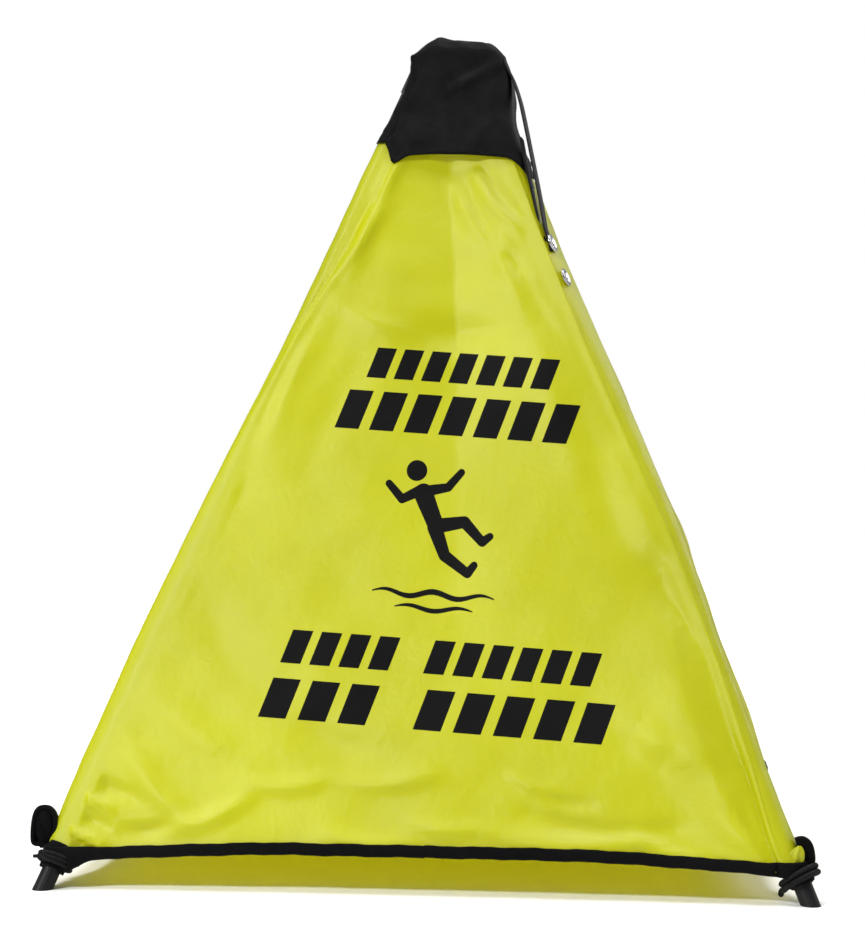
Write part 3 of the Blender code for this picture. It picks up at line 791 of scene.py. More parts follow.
def make_half(side, hand, shapes, materials):
    flat, triangles, ink = half_mesh(side, hand, shapes)
    s, z = hand * flat[:, 0], flat[:, 1]
    points = cover_point(side, s, z)
    normals = cover_normal(side, s, z)
    a, b, c = (points[triangles[:, k]] for k in range(3))
    facing = np.einsum("ij,ij->i", np.cross(b - a, c - a), normals[triangles[:, 0]])
    triangles = np.where((facing < 0)[:, None], triangles[:, ::-1], triangles)
    word = "right" if hand > 0 else "left"
    cloth = np.stack([s, z, np.full_like(s, SIDES.index(side))], axis=-1)
    return mesh_object(
        f"cover_{side}_{word}_half", points, triangles, materials, ink.astype(int), normals, cloth
    )


def bend_with_leg(obj):
    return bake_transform(obj)


def travelled(line):
    """Distance along a line at each of its points."""
    return np.concatenate([[0], np.cumsum(np.linalg.norm(np.diff(line, axis=0), axis=1))])


def sweep(name, line, profile, material, frames):
    """A closed profile carried along a line. frames gives the two profile axes at each point."""
    line = np.asarray(line, float)
    count = len(profile)
    points, cloth = [], []
    travel = travelled(line)
    around = np.concatenate([[0], np.cumsum([
        math.dist(profile[i], profile[(i + 1) % count]) for i in range(count)
    ])])
    for k, point in enumerate(line):
        u, v = frames[k]
        for i, (a, b) in enumerate(profile):
            points.append(point + a * u + b * v)
            cloth.append((travel[k], around[i], 0))
    faces = grid_faces(len(line) - 1, count, ring=True)
    for row in (0, len(line) - 1):
        faces += fan_faces(row * count, count, len(points), flip=row == 0)
        points.append(line[row])
        cloth.append((travel[row], 0, 0))
    return mesh_object(name, points, fix_winding(points, faces), [material], cloth=cloth)


def grid_faces(rows, cols, ring=False, start=0):
    """Quads between rows of points. With ring, each row's last point joins its first."""
    stride = cols if ring else cols + 1
    faces = []
    for j in range(rows):
        for i in range(cols):
            a = start + j * stride + i
            b = start + j * stride + (i + 1) % stride
            faces.append((a, b, b + stride, a + stride))
    return faces


def fan_faces(first, count, centre, flip):
    """Triangles from a ring of points to its centre."""
    faces = [(first + i, first + (i + 1) % count, centre) for i in range(count)]
    return [face[::-1] for face in faces] if flip else faces


def fix_winding(points, faces):
    """Faces turned so that a closed form's volume is positive."""
    points = np.asarray(points, float)
    volume = 0.0
    for f in faces:
        a = points[f[0]]
        for i in range(1, len(f) - 1):
            volume += float(np.dot(a, np.cross(points[f[i]], points[f[i + 1]])))
    return faces if volume > 0 else [tuple(reversed(f)) for f in faces]


# ------------------------------------------------------------------ materials


def new_material(name):
    material = bpy.data.materials.new(name)
    material.use_nodes = True
    tree = material.node_tree
    tree.nodes.clear()
    output = tree.nodes.new("ShaderNodeOutputMaterial")
    shader = tree.nodes.new("ShaderNodeBsdfPrincipled")
    tree.links.new(shader.outputs[0], output.inputs[0])
    return material, tree, shader, output


def feed(tree, made, inputs):
    """Links each input that is given as another node's output, and sets the others."""
    for key, value in inputs.items():
        if isinstance(value, bpy.types.NodeSocket):
            tree.links.new(value, made.inputs[key])
        else:
            made.inputs[key].default_value = value


def node(tree, kind, inputs=None, **settings):
    made = tree.nodes.new(kind)
    for key, value in settings.items():
        setattr(made, key, value)
    feed(tree, made, inputs or {})
    return made


def noise(tree, place, scale, detail=3.0, roughness=0.5, distortion=0.0):
    inputs = {"Scale": scale, "Detail": detail, "Roughness": roughness, "Distortion": distortion}
    return node(tree, "ShaderNodeTexNoise", {**inputs, "Vector": place}).outputs["Fac"]


def bands(tree, place, scale, direction, distortion):
    inputs = {"Scale": scale, "Distortion": distortion, "Vector": place}
    made = node(tree, "ShaderNodeTexWave", inputs, wave_type="BANDS", bands_direction=direction)
    return made.outputs["Fac"]


def maths(tree, operation, *values):
    return node(tree, "ShaderNodeMath", dict(enumerate(values)), operation=operation).outputs[0]


def ramp(tree, fac, stops):
    made = node(tree, "ShaderNodeValToRGB", {0: fac})
    for element, (position, colour) in zip(made.color_ramp.elements, stops):
        element.position = position
        element.color = (*colour, 1)
    return made.outputs[0]


def bump(tree, height, strength, distance, below=None):
    """A bump, on top of another one where below gives its normal."""
    inputs = {"Height": height, "Strength": strength, "Distance": distance}
    if below is not None:
        inputs["Normal"] = below
    return node(tree, "ShaderNodeBump", inputs).outputs[0]


def woven(name, dark, light, rough, thread, sheen=0.0, crinkle=0.35, crinkle_size=0.006,
          translucent=0.0, glow=(1, 1, 1), specular=0.5, weave=0.25):
    """Woven cloth: two crossed sets of threads, fine crinkles and a slightly uneven colour."""
    material, tree, shader, output = new_material(name)
    place = node(tree, "ShaderNodeAttribute", attribute_name="cloth").outputs["Vector"]
    warp = bands(tree, place, 0.5 / thread, "X", 0.4)
    weft = bands(tree, place, 0.5 / thread, "Y", 0.4)
    threads = maths(tree, "MULTIPLY", warp, weft)
    crinkles = noise(tree, place, 1 / crinkle_size, 4.0, 0.55, 0.6)
    normal = bump(tree, crinkles, crinkle, crinkle_size * 0.25, bump(tree, threads, weave, thread * 0.5))
    tone = maths(tree, "MULTIPLY_ADD", noise(tree, place, 9.0), 0.75, 0.02)
    mixed = maths(tree, "ADD", tone, maths(tree, "MULTIPLY", threads, 0.22))
    feed(tree, shader, {
        "Normal": normal,
        "Base Color": ramp(tree, mixed, ((0.30, dark), (0.66, light))),
        "Roughness": maths(tree, "MULTIPLY_ADD", noise(tree, place, 60.0), 0.12, rough - 0.06),
        "Specular IOR Level": specular,
        "Sheen Weight": sheen,
        "Sheen Roughness": 0.4,
        "Sheen Tint": (1, 1, 1, 1),
    })
    if translucent:
        through = node(tree, "ShaderNodeBsdfTranslucent", {"Color": (*glow, 1), "Normal": normal})
        shaders = {0: translucent, 1: shader.outputs[0], 2: through.outputs[0]}
        mix = node(tree, "ShaderNodeMixShader", shaders)
        tree.links.new(mix.outputs[0], output.inputs[0])
    return material


def moulded(name, dark, light, rough, grain=0.0012, strength=0.25, metallic=0.0, specular=0.5):
    """Plastic, rubber or metal with a fine grain, uneven gloss and slightly worn colour."""
    material, tree, shader, _ = new_material(name)
    place = node(tree, "ShaderNodeTexCoord").outputs["Object"]
    patches = noise(tree, place, 45.0, 4.0, 0.6)
    feed(tree, shader, {
        "Normal": bump(tree, noise(tree, place, 1 / grain, 4.0, 0.6), strength, grain * 0.2),
        "Base Color": ramp(tree, patches, ((0.32, dark), (0.70, light))),
        "Roughness": maths(tree, "MULTIPLY_ADD", patches, 0.25, rough - 0.12),
        "Metallic": metallic,
        "Specular IOR Level": specular,
    })
    return material


NYLON_GLOW = (0.90, 0.80, 0.004)
COVER = woven(
    "cover_nylon", (0.440, 0.468, 0.004), (0.540, 0.576, 0.006), 0.31, 0.00045,
    crinkle=0.16, crinkle_size=0.007, translucent=0.30, glow=NYLON_GLOW, specular=0.44,
)
INK = woven(
    "print_ink", (0.004, 0.004, 0.004), (0.009, 0.009, 0.009), 0.55, 0.00045, crinkle=0.16,
    crinkle_size=0.007, specular=0.03,
)
CAP = woven(
    "cap_nylon", (0.0006, 0.0006, 0.0006), (0.0014, 0.0014, 0.0014), 0.38, 0.0006,
    crinkle=0.30, crinkle_size=0.008, weave=0.5, specular=0.08,
)
TAPE = woven(
    "binding_tape", (0.002, 0.002, 0.0022), (0.006, 0.006, 0.0065), 0.62, 0.0007, sheen=0.02,
    crinkle=0.3, weave=0.9, specular=0.05,
)
CORD = woven("tie_cord", (0.002, 0.002, 0.0025), (0.008, 0.0075, 0.009), 0.5, 0.0008, sheen=0.02, weave=0.9,
             specular=0.2)
STRAP = woven("strap_webbing", (0.002, 0.0018, 0.003), (0.007, 0.006, 0.010), 0.45, 0.0007, weave=0.9,
              specular=0.2)
SLEEVE = woven("sleeve_nylon", (0.46, 0.47, 0.006), (0.54, 0.56, 0.008), 0.45, 0.0005, crinkle=0.4)
TIP = moulded("tip_plastic", (0.003, 0.003, 0.003), (0.009, 0.009, 0.009), 0.5, specular=0.2)
COAT = moulded("leg_coating", (0.006, 0.006, 0.006), (0.014, 0.014, 0.014), 0.40, specular=0.3)
HUB_PLASTIC = moulded("hub_plastic", (0.012, 0.012, 0.012), (0.030, 0.030, 0.031), 0.50, 0.0009)
STEEL = moulded("spring_steel", (0.42, 0.42, 0.43), (0.62, 0.62, 0.64), 0.30, 0.0006, 0.1, 1.0)
CHROME = moulded("snap_chrome", (0.34, 0.34, 0.35), (0.52, 0.52, 0.54), 0.20, 0.0008, 0.05, 1.0)
FLOOR = moulded("pale_floor", (0.90, 0.90, 0.90), (0.94, 0.94, 0.94), 0.75, 0.004, 0.05)


def finish_frame_nodes():
    """Better materials for the CAD nodes that stay shown."""
    rules = (
        ("foot_tip_", TIP), ("leg_tube_", COAT), ("leg_fitting_", HUB_PLASTIC), ("hub_screw", STEEL),
        ("hub_", HUB_PLASTIC), ("pivot_pin_", STEEL), ("leg_spring_", STEEL), ("snap_socket_strap", CHROME),
    )
    for name, obj in frame["nodes"].items():
        for prefix, material in rules:
            if name.startswith(prefix):
                for slot in obj.material_slots:
                    slot.material = material
                break


# ------------------------------------------------------------------ cover, hem and seams


def make_cover():
    shapes = print_shapes()
    made = []
    for side in SIDES:
        for hand in (-1, 1):
            piece = make_half(side, hand, shapes, [COVER, INK])
            dress(piece, "cover_fabric")
            hem = make_hem(side, hand)
            made.append((side, hand, piece, hem))
    for side, hand, piece, hem in made:
        if hand < 0:
            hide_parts(f"panel_{side}")
            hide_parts(f"hem_{side}")
        bend_with_leg(piece)
        bend_with_leg(hem)


HEM_TALL = 0.0072
HEM_THICK = 0.0022
HEM_GIRTH = 0.018  # the way round the tape


def hem_line(side, hand):
    """Points along the cover's lower edge, and how far the tape is bunched at each."""
    s = np.linspace(0, 1, 90) * float(reach(side, hand, HEM_END))
    return s, hem_height(np.minimum(s, FOOT)), bell(FOOT - 0.013 - s, 0.0105)


def make_hem(side, hand):
    """The folded tape that binds the lower edge, bunched where it meets the ties."""
    s, z, bunch = hem_line(side, hand)
    swell = 1.0 if corner_of(side, hand) in ("front_left", "back_right") else 0.25
    points, normals = cover_point(side, hand * s, z + 0.001), cover_normal(side, hand * s, z + 0.004)
    ring = 18
    verts, cloth = [], []
    travel = travelled(points)
    for k in range(len(s)):
        out = unit(normals[k] * np.array([1, 1, 0.2]))
        tall = HEM_TALL * (1 + 0.95 * swell * bunch[k]) / 2
        thick = HEM_THICK * (1 + 1.2 * swell * bunch[k]) / 2
        wobble = 0.00018 * math.sin(210 * s[k] + 1.3 * hand) + 0.00010 * math.sin(530 * s[k])
        centre = points[k] + UP * (0.0008 - 0.0028 * swell * bunch[k] + wobble)
        for a in full_turn(ring):
            c, q = math.cos(a), math.sin(a)
            across = math.copysign(abs(c) ** 0.7, c) * thick
            rise = math.copysign(abs(q) ** 0.55, q) * tall
            verts.append(centre + out * across + UP * rise)
            cloth.append((travel[k], a / (2 * math.pi) * HEM_GIRTH, 0))
    faces = grid_faces(len(s) - 1, ring, ring=True)
    word = "right" if hand > 0 else "left"
    piece = mesh_object(f"hem_{side}_{word}_half", verts, fix_winding(verts, faces), [TAPE], cloth=cloth)
    return dress(piece, "hem_tape")


# ------------------------------------------------------------------ cap

# Heights of the cap's sections, and how far each side stands from the axis there.
CAP_LEVELS = (0.415, 0.435, 0.450, 0.462, 0.472, 0.483, 0.490, 0.4975)
CAP_REACH = {
    "front": (0.0578, 0.0492, 0.0424, 0.0370, 0.0332, 0.0294, 0.0280, 0.0272),
    "right": (0.0565, 0.0486, 0.0424, 0.0404, 0.0400, 0.0388, 0.0376, 0.0348),
    "back": (0.0568, 0.0486, 0.0426, 0.0384, 0.0350, 0.0318, 0.0300, 0.0284),
    "left": (0.0565, 0.0478, 0.0412, 0.0358, 0.0312, 0.0264, 0.0258, 0.0256),
}
CAP_ROUND = (0.0075, 0.0072, 0.0070, 0.0066, 0.0060, 0.0044, 0.0044, 0.0050)
CAP_HEM_LEVEL = {"front": 0.4342, "right": 0.4352, "back": 0.4368, "left": 0.4440}
# How far each corner seam pulls the edge down, and over what width.
CAP_HEM_DIP = {
    "front_right": (0.0136, 0.0050), "back_right": (0.0070, 0.0060),
    "back_left": (0.0080, 0.0060), "front_left": (0.0046, 0.0048),
}
CAP_SEAM_PLACE = {"front_left": 0.0150}  # along the section from the corner's diagonal
CAP_HEM_BOW = 1.6  # how fast the edge falls from a side's middle, for a metre squared
# The ridge of the crown, from left to right.
CROWN_X = (-0.0256, -0.0215, -0.0165, -0.0101, -0.0020, 0.0065, 0.0150, 0.0254, 0.0320, 0.0348)
CROWN_Z = (0.4992, 0.5028, 0.5072, 0.5116, 0.5110, 0.5108, 0.5092, 0.5078, 0.5024, 0.4988)
CAP_SHOULDER = 0.4982
# Folds of each side of the cap, as those of the cover.
CAP_FOLDS = {
    "front": (
        (0.0005, 0.428, 0.0015, 0.484, -0.0008, 0.0034),
        (-0.010, 0.430, -0.008, 0.480, 0.0009, 0.0055),
        (0.010, 0.430, 0.010, 0.470, 0.0008, 0.0060),
        (0.002, 0.4770, 0.028, 0.4925, 0.0024, 0.0038),
        (0.004, 0.4840, 0.024, 0.4965, -0.0012, 0.0034),
        (0.036, 0.446, 0.014, 0.466, -0.0010, 0.0040),
        (-0.028, 0.470, -0.012, 0.492, 0.0010, 0.0040),
        (-0.020, 0.436, -0.030, 0.456, 0.0008, 0.0050),
        (0.012, 0.438, 0.024, 0.452, 0.0009, 0.0045),
    ),
    "right": (
        (-0.030, 0.440, -0.010, 0.474, 0.0013, 0.0045),
        (0.000, 0.432, 0.002, 0.480, 0.0014, 0.0050),
        (0.008, 0.470, 0.024, 0.492, -0.0013, 0.0040),
    ),
    "back": (
        (0.000, 0.430, -0.002, 0.486, 0.0015, 0.0050),
        (0.010, 0.474, 0.026, 0.494, 0.0013, 0.0040),
        (-0.030, 0.450, -0.012, 0.480, -0.0011, 0.0045),
    ),
    "left": (
        (0.001, 0.436, 0.000, 0.484, 0.0014, 0.0050),
        (-0.024, 0.478, -0.006, 0.492, 0.0011, 0.0035),
        (0.014, 0.448, 0.030, 0.470, -0.0010, 0.0045),
    ),
}
CAP_CREASE_WIDTH = 0.032
CAP_CREASE_DEPTH = 0.0026
ARC_COLUMNS = 10
SIDE_COLUMNS = 34


def cap_reaches(side, z):
    """How far the cap stands out before, on and after a side at height z, and its corner radius."""
    index = SIDES.index(side)
    tables = [CAP_REACH[name] for name in (SIDES[index - 1], side, SIDES[(index + 1) % 4])]
    return [float(curve(z, CAP_LEVELS, table)) for table in (*tables, CAP_ROUND)]


def cap_column(side, i, z):
    """Place of one column of the cap: x and d on its side, the corner's turn, and the length so far."""
    before, away, after, radius = cap_reaches(side, z)
    straight = before + after - 2 * radius
    if i < SIDE_COLUMNS:
        share = i / SIDE_COLUMNS
        return -(before - radius) + straight * share, away, 0.0, straight * share
    a = math.pi / 2 * (i - SIDE_COLUMNS) / ARC_COLUMNS
    x = after - radius + radius * math.sin(a)
    d = away - radius + radius * math.cos(a)
    return x, d, a, straight + radius * a


def cap_hem(side, x, angle, limits, radius):
    """Height of the cap's lower edge: bowed along a side, dipping at the corner seams."""
    before, after = limits
    following = SIDES[(SIDES.index(side) + 1) % 4]
    turn = float(smoothstep(0, math.pi / 2, angle))
    level = CAP_HEM_LEVEL[side] + (CAP_HEM_LEVEL[following] - CAP_HEM_LEVEL[side]) * turn
    if side == "left":
        level = CAP_HEM_LEVEL["left"]
    if side == "front":
        level += (CAP_HEM_LEVEL["left"] - level) * float(np.clip(-(x + 0.032) / 0.010, 0, 1))
    eighth = math.pi / 4 * radius
    to_right = radius * angle - eighth if angle > 0 else x - (after - radius) - eighth
    to_left = x + (before - radius) + eighth
    dip = 0.0
    for corner, place in ((corner_of(side, 1), to_right), (corner_of(side, -1), to_left)):
        depth, wide = CAP_HEM_DIP[corner]
        dip += depth * bell(place - CAP_SEAM_PLACE.get(corner, 0.0), wide)
    return level - CAP_HEM_BOW * min(abs(x), 0.040) ** 2 - dip


def crown_height(x, y, front, back):
    """Top of the cap: a slack crown, highest left of the middle."""
    ridge = float(curve(x, CROWN_X, CROWN_Z))
    span = front if y < 0 else back
    fall = max(1 - abs(y / span) ** 2.6, 0) ** 0.5
    crumple = 0.0009 * math.sin(290 * x + 90 * y + 1.0) * math.sin(210 * y + 60 * x + 0.6) * fall
    return CAP_SHOULDER + (ridge - CAP_SHOULDER) * fall + crumple


def cap_relief(side, x, z):
    near = max(1 - math.hypot(x - 0.001, CREASE_ROUND) / CAP_CREASE_WIDTH, 0)
    fade = float(smoothstep(0.432, 0.445, z) * smoothstep(0.498, 0.480, z))
    total = CAP_CREASE_DEPTH * (1 - near ** 1.5) * fade if side == "front" else 0.0
    for x0, z0, x1, z1, height, width in CAP_FOLDS[side]:
        across, along, length = segment_distance(x, z, x0, z0, x1, z1)
        over = max(abs(along - 0.5) - 0.5, 0) * length
        total += height * bell(over, 1.5 * width) * bell(across, width)
    rng = random.Random(70 + SIDES.index(side))
    for _ in range(5):
        a, k, p = rng.uniform(0, math.pi), 2 * math.pi / rng.uniform(0.012, 0.034), rng.uniform(0, 6.28)
        total += 0.00028 * math.sin(k * (x * math.cos(a) + z * math.sin(a)) + p)
    return total


def make_cap():
    """The black cap: sides with a turned hem, and a slack crown."""
    stations = [(side, i) for side in SIDES for i in range(SIDE_COLUMNS + ARC_COLUMNS)]
    columns, rows = len(stations), 26
    points, cloth, hems = [], [], []
    for side, i in stations:
        x, _, angle, _ = cap_column(side, i, CAP_LEVELS[1])
        before, _, after, radius = cap_reaches(side, CAP_LEVELS[1])
        hems.append(cap_hem(side, x, angle, (before, after), radius))
    turn_in = ((0.0080, -0.0011), (0.0040, -0.0011), (0.0006, -0.0009), (-0.0002, -0.0004))
    levels = [("in", rise, shift) for rise, shift in turn_in]
    levels += [("out", i / rows, 0.0) for i in range(rows + 1)]
    for kind, a, shift in levels:
        for (side, i), hem in zip(stations, hems):
            z = hem + a if kind == "in" else hem + (CAP_SHOULDER - hem) * a
            x, d, angle, along = cap_column(side, i, z)
            fade = float(smoothstep(0, 0.010, CAP_SHOULDER + 0.004 - z))
            bend = cap_relief(side, x, z) * fade * math.cos(angle) ** 2
            stitch = -0.0004 * bell(z - hem - 0.0068, 0.0009)
            flare = 0.0006 * math.exp(-max(z - hem, 0) / 0.003)
            out = np.array([math.sin(angle), math.cos(angle)])
            x2, d2 = np.array([x, d]) + out * (bend + stitch + flare + shift)
            points.append(to_world(side, x2, d2, z))
            cloth.append((along + 0.1 * SIDES.index(side), z, 0))
    crown = 13
    rim = points[-columns:]
    front, right, back, left = (float(curve(CAP_SHOULDER, CAP_LEVELS, CAP_REACH[name])) for name in SIDES)
    middle = (right - left) / 2
    for j in range(1, crown + 1):
        w = 1 - j / crown if j < crown else 0.02
        for k in range(columns):
            x = middle + (rim[k][0] - middle) * w
            y = rim[k][1] * w
            points.append(np.array([x, y, crown_height(x, y, front, back)]))
            cloth.append((x, y, 1))
    total = len(levels) + crown
    faces = grid_faces(total - 1, columns, ring=True)
    faces.append(tuple(range((total - 1) * columns, total * columns)))
    cap = mesh_object("cap", points, faces, [CAP], cloth=cloth)
    dress(cap, "cap_fabric", "cap_top", *[f"cap_{side}" for side in SIDES])
    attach(cap, HUB)
    return cap


# ------------------------------------------------------------------ corners

CORNER_AZIMUTHS = {"front_right": -45, "back_right": 45, "back_left": 135, "front_left": -135}


class LegFrame:
    """Axes at a leg: u outward, v to the right seen from outside, w up the leg from its foot."""

    def __init__(self, corner):
        a = math.radians(CORNER_AZIMUTHS[corner])
        diagonal = np.array([math.cos(a), math.sin(a), 0.0])
        self.foot = diagonal * FOOT * math.sqrt(2)
        self.w = np.array([0, 0, APEX]) - self.foot
        self.length = np.linalg.norm(self.w)
        self.w /= self.length
        self.v = np.array([-math.sin(a), math.cos(a), 0.0])
        self.u = np.cross(self.v, self.w)

    def at(self, u, v, w):
        return self.foot + u * self.u + v * self.v + w * self.w

    def round(self, radius, angle, w):
        """A point beside the leg, at an angle from its outer side."""
        return self.at(radius * math.cos(angle), radius * math.sin(angle), w)


def smooth_line(controls, steps=10):
    """Catmull-Rom curve through a few points."""
    controls = [np.asarray(p, float) for p in controls]
    padded_line = [2 * controls[0] - controls[1], *controls, 2 * controls[-1] - controls[-2]]
    line = []
    for i in range(1, len(padded_line) - 2):
        p0, p1, p2, p3 = padded_line[i - 1:i + 3]
        for k in range(steps):
            t = k / steps
            line.append(0.5 * (2 * p1 + (p2 - p0) * t + (2 * p0 - 5 * p1 + 4 * p2 - p3) * t**2
                               + (3 * p1 - p0 - 3 * p2 + p3) * t**3))
    line.append(controls[-1])
    return np.array(line)


def carried_frames(line, up):
    """Two axes across a line at each point, turning as little as possible."""
    tangents = np.gradient(line, axis=0)
    tangents /= np.linalg.norm(tangents, axis=1)[:, None]
    v = np.asarray(up, float)
    frames = []
    for t in tangents:
        v = unit(v - t * np.dot(v, t))
        frames.append((np.cross(v, t), v))
    return frames


def lobed(radius, lobes=3, depth=0.16, steps=18):
    """Profile of a laid cord: a few strands side by side."""
    shape = []
    for a in full_turn(steps):
        r = radius * (1 - depth + depth * abs(math.cos(lobes * a / 2)))
        shape.append((r * math.cos(a), r * math.sin(a)))
    return shape


def rounded(width, thickness, steps=20, square=0.45):
    """Profile of a flat tape with soft edges: width along the second axis."""
    shape = []
    for a in full_turn(steps):
        c, s = math.cos(a), math.sin(a)
        shape.append((math.copysign(abs(c) ** square, c) * thickness / 2,
                      math.copysign(abs(s) ** square, s) * width / 2))
    return shape


def rope(name, line, radius, material, up=(0, 0, 1), twist=900.0):
    """A twisted cord along a line, closed flat at its two cut ends."""
    frames = carried_frames(line, up)
    turned = []
    for (u, v), s in zip(frames, travelled(line)):
        c, q = math.cos(twist * s), math.sin(twist * s)
        turned.append((u * c + v * q, v * c - u * q))
    return sweep(name, line, lobed(radius), material, turned)


TIE_PLACE = 0.0172
TIE_RADIUS = 0.0102
# Turns, cord radius, first angle and pitch of the winding at each corner.
TIES = {
    "front_right": (1.75, 0.00185, -2.35, 0.0036), "back_right": (2.30, 0.00150, 0.60, 0.0031),
    "back_left": (2.10, 0.00150, -2.00, 0.0031), "front_left": (2.20, 0.00115, 0.55, 0.0022),
}


def make_tie(corner):
    """Cord wound round the gathered cloth and the leg, with its two ends crossed and cut short."""
    leg = LegFrame(corner)
    turns, radius, start, pitch = TIES[corner]
    steps = int(26 * turns)
    line = []
    for i in range(steps + 1):
        t = i / steps
        a = start + 2 * math.pi * turns * t
        r = TIE_RADIUS + 0.0007 * math.sin(2 * a + 1)
        w = TIE_PLACE + pitch * turns * (t - 0.5) + 0.0009 * math.sin(a)
        line.append(leg.round(r, a, w))
    first, last = unit(line[0] - line[1]), unit(line[-1] - line[-2])
    line.insert(0, line[0] + first * 0.0045 + leg.w * 0.0006)
    line.insert(0, line[0] + first * 0.0040 - leg.w * 0.0010)
    line.append(line[-1] + last * 0.0045 - leg.w * 0.0006)
    line.append(line[-1] + last * 0.0035 + leg.w * 0.0004)
    tie = rope(f"tie_{corner}", smooth_line(line, 3), radius, CORD, leg.w)
    dress(tie, "tie_cord", f"corner_tie_{corner}")
    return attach(tie, f"leg_{corner}")


GATHER_LOW = 0.0122
GATHER_TOPS = {"front_right": 0.0200, "back_right": 0.0220, "back_left": 0.0240, "front_left": 0.0275}


def make_gather(corner):
    """The bound cloth bunched on the leg's end, in small pleats."""
    leg = LegFrame(corner)
    rng = random.Random(7 + list(CORNER_AZIMUTHS).index(corner))
    pleats = [(rng.randint(4, 9), rng.uniform(0, 6.28), rng.uniform(0.2, 0.5)) for _ in range(4)]
    around, up = 72, 22
    low, high = GATHER_LOW, GATHER_TOPS[corner]
    points, cloth = [], []
    for j in range(up + 1):
        t = j / up
        w = low + (high - low) * t
        waist = bell(w - TIE_PLACE, 0.0042)
        body = 0.0064 + 0.0022 * math.sin(math.pi * (0.12 + 0.80 * t)) ** 0.6 - 0.0008 * waist
        for a in full_turn(around):
            ripple = sum(d * math.sin(n * a + p + 2.2 * t) for n, p, d in pleats)
            r = body + 0.0007 * ripple * math.sin(math.pi * min(t + 0.12, 1))
            rise = 0.0008 * math.sin(2 * a + pleats[0][1]) * (1 - t)
            points.append(leg.round(r, a, w + rise))
            cloth.append((a * 0.008, w, 0))
    faces = grid_faces(up, around, ring=True)
    for row, w in ((0, low), (up, high)):
        faces += fan_faces(row * around, around, len(points), flip=row == 0)
        points.append(leg.at(0, 0, w))
        cloth.append((0, 0, 0))
    gather = mesh_object(f"gather_{corner}", points, fix_winding(points, faces), [TAPE], cloth=cloth)
    dress(gather, "hem_tape")
    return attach(gather, f"leg_{corner}")


def loop_band(name, controls, across, width, thickness, steps=8):
    """A band of tape bent along a line; its width runs along the given direction."""
    line = smooth_line(controls, steps)
    return sweep(name, line, rounded(width, thickness), TAPE, carried_frames(line, across))


def make_ear_left(corner):
    """A flat tab of folded tape that stands beside the leg: a rim round a padded middle."""
    # The rim's outline in the tab's own plane: across from its middle, and its height.
    outline = ((0.0042, 0.0190), (0.0000, 0.0236), (-0.0056, 0.0248), (-0.0064, 0.0300), (-0.0058, 0.0390),
               (-0.0034, 0.0440), (0.0020, 0.0446), (0.0058, 0.0405), (0.0066, 0.0330), (0.0048, 0.0265),
               (0.0040, 0.0195))
    centre = np.array([-0.2190, -0.2045, 0.0])
    across, depth = np.array([1.0, 0.0, 0.0]), np.array([0.05, 1.0, 0.0])
    line = [
        centre + across * a + UP * b + depth * 0.0012 * math.sin(160 * b) for a, b in outline
    ]
    rim = loop_band(f"ear_{corner}", line, depth, 0.0066, 0.0026)
    fill_points, fill_cloth = [], []
    rows, cols = 20, 14
    for face in (1, -1):
        for j in range(rows + 1):
            t = j / rows
            z = 0.0215 + 0.0228 * t
            wide = 0.0060 * math.sin(math.pi * min(max(t, 0.04), 0.96)) ** 0.35
            for i in range(cols + 1):
                u = 2 * i / cols - 1
                puff = max(1 - u * u, 0) ** 0.35 * math.sin(math.pi * min(max(t, 0.02), 0.98)) ** 0.35
                puff *= 0.0038 + 0.0005 * math.sin(5 * u + 9 * t)
                fill_points.append(centre + across * wide * u + UP * z - depth * face * puff)
                fill_cloth.append((wide * u, z, 0))
    fill_faces = grid_faces(rows, cols)
    fill_faces += [face[::-1] for face in grid_faces(rows, cols, start=(rows + 1) * (cols + 1))]
    fill = mesh_object(f"ear_middle_{corner}", fill_points, fill_faces, [TAPE], cloth=fill_cloth)
    dress(rim, "hem_tape", f"corner_ear_{corner}")
    dress(fill, "hem_tape")
    for piece in (rim, fill):
        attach(piece, f"leg_{corner}")


LOBE_FORWARD = 0.0050


def make_ear_hook(corner, away, depth, centre):
    """Bound edge of the gathered side that stands up over the tie as a hook, round a lobe of cloth."""
    path = ((-0.0040, 0.0150), (0.0020, 0.0190), (0.0047, 0.0230), (0.0048, 0.0275), (0.0034, 0.0324),
            (0.0005, 0.0345), (-0.0030, 0.0336))
    away, depth, centre = (np.asarray(v, float) for v in (away, depth, centre))
    line = [centre + away * a + UP * b for a, b in path]
    hook = loop_band(f"ear_{corner}", line, depth, 0.0052, 0.0062)
    dress(hook, "hem_tape", f"corner_ear_{corner}")
    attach(hook, f"leg_{corner}")
    rows, cols = 22, 14
    points, cloth = [], []
    for j in range(rows + 1):
        t = j / rows
        z = 0.0152 + 0.0178 * t
        wide = 0.0050 * math.sin(math.pi * min(max(t, 0.02), 0.985) ** 1.05) ** 0.55
        lean = -0.0062 + 0.0050 * t
        for i in range(cols + 1):
            u = 2 * i / cols - 1
            ridge = 0.0024 * (1 - abs(u) ** 1.6) + 0.0006 * math.cos(7 * u)
            bulge = ridge * math.sin(math.pi * min(max(t, 0.02), 0.98)) ** 0.6
            place = centre + away * (lean + wide * u) + UP * z
            points.append(place - depth * (LOBE_FORWARD + bulge))
            cloth.append((wide * u, z, 0))
    lobe = mesh_object(f"lobe_{corner}", points, grid_faces(rows, cols), [COVER], cloth=cloth)
    dress(lobe, "cover_fabric")
    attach(lobe, f"leg_{corner}")


SLEEVE_LOW = 0.0285
SLEEVE_TOP = 0.446  # it ends under the cap
SLEEVE_RADIUS = 0.00490


